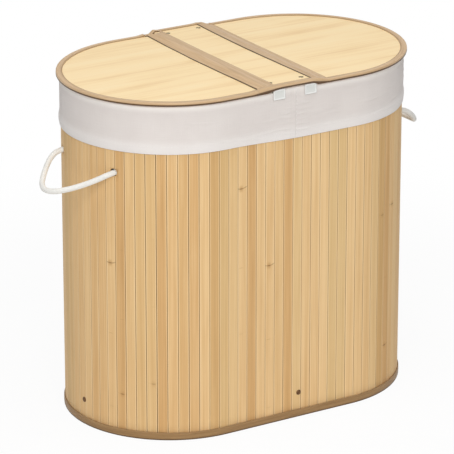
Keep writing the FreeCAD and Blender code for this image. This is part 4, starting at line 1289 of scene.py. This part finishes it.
def makeBagSide(word):
    # a cloth wall round the half oval, with soft upright folds that only lean inwards
    v = bag
    half = perimeter / 2
    seed = v["seeds"][word]
    start = v["sideX"] + (half if word == "left" else 0)
    stop = start + half - 2 * v["sideX"]
    edges = [v["slotX"] + side * v["slotStep"] for side in (-1, 1)]
    extra = [end + way * (edge - v["sideX"]) for end, way in ((start, 1), (stop, -1)) for edge in edges]
    along = np.unique(np.concatenate([np.linspace(start, stop, 260), extra]))[:, None]
    fromEnd = np.minimum(along - start, stop - along)
    topZ = np.where(fromEnd < v["slotX"] - v["sideX"], v["slotTop"], v["top"])
    z = v["floor"] + 0.3 * mm + (topZ - v["floor"]) * np.linspace(0, 1, 90)[None]
    hang = (1 - smoothStep(*v["foldsFade"], z)) * smoothStep(0, 0.03, fromEnd)
    foldWave = 0.5 + 0.5 * softNoise(along, 0.25 * z, seed, 0.10, 0.9)
    creaseWave = softNoise(along, z, seed + 1, 0.20, 0.14)
    inward = v["fold"] * hang * np.clip(foldWave, 0, 1.4) + v["crease"] * hang * (1 + creaseWave)
    x, y, _, _ = ovalPlace(along, bagRadius(z) - inward)
    around, high = stop - start, v["sideHeight"]
    addBagCloth(word, "side", grid(x, y, z), grid(along, z), "top_hoop", flat=(around, high),
                area=v["slack"]["side"] * around * high)


def makeBagDivider(word):
    # up from the floor, over the crossbar and down again as a sleeve
    v = bag
    r = v["barRound"]
    profile = [(v["innerX"], z) for z in np.linspace(v["floor"] + 0.5 * mm, v["barSide"], 80)]
    profile += roundedCorner((v["innerX"] + r, v["barTop"] - r), r, 180, 90)
    profile += roundedCorner((v["barOuter"] - r, v["barTop"] - r), r, 90, 0)
    profile += [(v["barOuter"], z) for z in np.linspace(v["barSide"], v["sleeveLow"], 8)]
    profile = np.array(profile)
    px, pz = profile[:, :1], profile[:, 1:]
    across = np.linspace(-1, 1, 120)[None]
    y = (bagRadius(pz) - 1.1 * mm) * across
    calm = (1 - smoothStep(*v["leanFade"], pz)) * smoothStep(0, 60 * mm, pz - v["floor"]) * (1 - across ** 4)
    lean = v["lean"] * calm * (0.5 + 0.5 * softNoise(y, 0.3 * pz, v["seeds"][word] + 2, 0.10, 0.8))
    x = px + np.where(px < v["innerX"] + 1e-6, lean, 0.0)
    wide, high = v["dividerFlat"]
    addBagCloth(word, "divider", grid(x * sideSign[word], y, pz), grid(y, runLength(profile)[:, None]),
                f"{word}_crossbar", flat=v["dividerFlat"], area=wide * high * v["slack"]["divider"])


def makeBagFloor(word):
    # rows across the half oval, each from the divider to the round end
    v = bag
    phi = np.radians(np.linspace(-90, 90, 90))[:, None]
    r = v["radius"] - 0.9 * mm
    y = r * np.sin(phi)
    share = np.linspace(0, 1, 90)[None]
    x = v["innerX"] + (halfStraight + r * np.cos(phi) - v["innerX"]) * share
    middle = np.minimum(1, 6 * share * (1 - share)) * np.cos(phi)
    lift = v["floorLift"] * middle * (1 + softNoise(x, y, v["seeds"][word] + 3, 0.12, 0.12))
    straight = halfStraight - v["innerX"]
    addBagCloth(word, "floor", grid(x * sideSign[word], y, v["floor"] + lift), grid(x, y),
                "base_board", "laid", flat=(straight + r, 2 * r), area=straight * 2 * r + math.pi * r * r / 2)


for word in ("left", "right"):
    makeBagSide(word)
    makeBagDivider(word)
    makeBagFloor(word)
print("liner made")

tabs = {
    "centres": {"front": (-24 * mm, 33 * mm), "back": (-34 * mm, 24 * mm)},
    "width": 21.8 * mm,
    "low": 537 * mm,
    "high": 553.4 * mm,
    "out": 173.2 * mm,          # middle of the tab's thickness
    "thickness": 1.0 * mm,
    "border": 2.4 * mm,
    "borderRise": 0.35 * mm,
    "borderEdge": (0.75, 1.1),  # shares of the border between which it slopes down
    "lift": 0.8 * mm,           # of the free edge
    "narrowing": 0.02,          # towards the top
}


def makeTabs(place):
    # small square tabs: a sewn border stands a little proud, and the free lower edge lifts slightly
    v = tabs
    sign = -1 if place == "front" else 1
    a = np.linspace(-1, 1, 33)[:, None]
    b = np.linspace(0, 1, 27)[None]
    grids, uvs, edges = [], [], []
    for index, centre in enumerate(v["centres"][place]):
        x = centre + a * v["width"] / 2 * (1 - v["narrowing"] * b)
        z = v["low"] + (v["high"] - v["low"]) * b
        edgeX = v["width"] / 2 * (1 - np.abs(a))
        edgeZ = np.minimum(b, 1 - b) * (v["high"] - v["low"])
        fromEdge = np.minimum(edgeX, edgeZ)
        border = 1 - smoothStep(*(v["border"] * share for share in v["borderEdge"]), fromEdge)
        lift = v["lift"] * (1 - b) ** 3 * (0.8 + 0.2 * a * (-1) ** index)
        out = v["out"] + lift + v["borderRise"] * border
        grids.append(grid(x, sign * out, z))
        uvs.append(grid(x, z))
        edges.append(grid(fromEdge, 0))
    maps = {"cloth": np.stack(uvs), "border": np.stack(edges)}
    piece = addCloth(f"{place}Tabs", np.stack(grids), maps, v["thickness"], tabMaterial, f"{place}_tabs")


for place in ("front", "back"):
    makeTabs(place)
print("tabs made")

# screws
screws = {
    "headRings": 15,
    "bridge": {
        "places": [(sx * 28.5 * mm, sy * 153 * mm, 558.7 * mm) for sx in (-1, 1) for sy in (-1, 1)],
        "head": 4.0 * mm, "coneDepth": 2.4 * mm, "shank": 1.75 * mm, "length": 12 * mm,
    },
    "base": {"head": 4.3 * mm, "shank": 1.75 * mm, "length": 22 * mm, "dome": 1.8 * mm,
             "seat": 170.2 * mm, "height": 41 * mm, "offset": 17.2 * mm, "turn": 5.8},
    "recess": {"arm": 2.3 * mm, "halfWidth": 0.5 * mm, "depth": 0.9 * mm,
               "edge": (0.7, 1.3),      # shares of the half width between which a bar's side slopes
               "turned": {"lying": (0.3, 0.2, 1.0), "upright": (1.0, 0.35, 0)}},
}


def screwPoints(place, outward, profile):
    # A profile of (radius, height) turned about the screw's axis. A cross is pressed into the head: two
    # bars at right angles, deepest where they meet.
    v = screws["recess"]
    outward = unit(np.array(outward, float))
    aside = unit(np.cross(outward, v["turned"]["lying" if abs(outward[2]) < 0.9 else "upright"]))
    other = np.cross(outward, aside)
    turn = np.linspace(0, 2 * math.pi, 48, endpoint=False)[None]
    r, h = profile[:, 0][:, None], profile[:, 1][:, None]
    a, b = r * np.cos(turn), r * np.sin(turn)
    arms = [
        (1 - smoothStep(*(v["halfWidth"] * share for share in v["edge"]), np.abs(p)))
        * (1 - smoothStep(v["arm"] * 0.7, v["arm"], np.abs(q)))
        for p, q in ((a, b), (b, a))
    ]
    onHead = (np.arange(len(profile)) < screws["headRings"])[:, None]
    pressed = v["depth"] * np.maximum(*arms) * onHead * (1 - 0.5 * r / v["arm"]).clip(0, 1)
    points = np.array(place) + a[..., None] * aside + b[..., None] * other
    points = points + (h - pressed)[..., None] * outward
    return points, grid(r, pressed)


def makeScrews():
    rings = np.linspace(0, 1, screws["headRings"])
    v = screws["bridge"]
    face = np.stack([rings * v["head"], 0 * rings], 1)
    cone = np.array([(v["shank"], -v["coneDepth"])])
    places = [(place, (0, 0, 1)) for place in v["places"]]
    turnScrews("bridgeScrews", places, np.concatenate([face, cone]), v, screwHeadMaterial, "bridge_screws")

    v = screws["base"]
    # the dome is an arc through the head's rim
    dome = np.stack([rings * v["head"], v["dome"] * (1 - rings ** 2) ** 0.6], 1)
    neck = np.array([(v["shank"], 0.0)])
    t = math.radians(v["turn"])
    endX, endY = halfStraight + v["seat"] * math.cos(t), v["seat"] * math.sin(t)
    places = [
        ((v["offset"], -v["seat"], v["height"]), (0, -1, 0)),
        ((-v["offset"], v["seat"], v["height"]), (0, 1, 0)),
        ((endX, endY, v["height"]), (math.cos(t), math.sin(t), 0)),
        ((-endX, -endY, v["height"]), (-math.cos(t), -math.sin(t), 0)),
    ]
    turnScrews("baseScrews", places, np.concatenate([dome, neck]), v, screwMaterial, "base_screws")


def turnScrews(name, places, head, v, material, node):
    tip = np.array([(v["shank"], -v["length"] + 2 * mm), (0.2 * mm, -v["length"]), (0, -v["length"])])
    made = [screwPoints(place, outward, np.concatenate([head, tip])) for place, outward in places]
    grids, uvs = (np.stack(part) for part in zip(*made))
    piece = surface(name, grids, False, True, maps={"head": uvs})
    addPiece(piece, basket, material, [node])


makeScrews()
print("screws made")

# CAD nodes that keep their shape get their finish
kept = {
    "slat_backing": backingMaterial,
    "base_hoop": plyMaterial,
    "base_board": plyMaterial,
    "top_hoop": plyMaterial,
    "left_crossbar": plyMaterial,
    "right_crossbar": plyMaterial,
    "crossbar_screws": screwMaterial,
    "tab_fasteners": feltMaterial,
    "bridge_board": panelMaterial,
    "left_lid_board": panelMaterial,
    "right_lid_board": panelMaterial,
}
for nodeName, material in kept.items():
    mesh = cadNodes[nodeName].data
    if not mesh.materials:
        mesh.materials.append(material)
    for index in range(len(mesh.materials)):
        mesh.materials[index] = material
print("kept nodes finished")
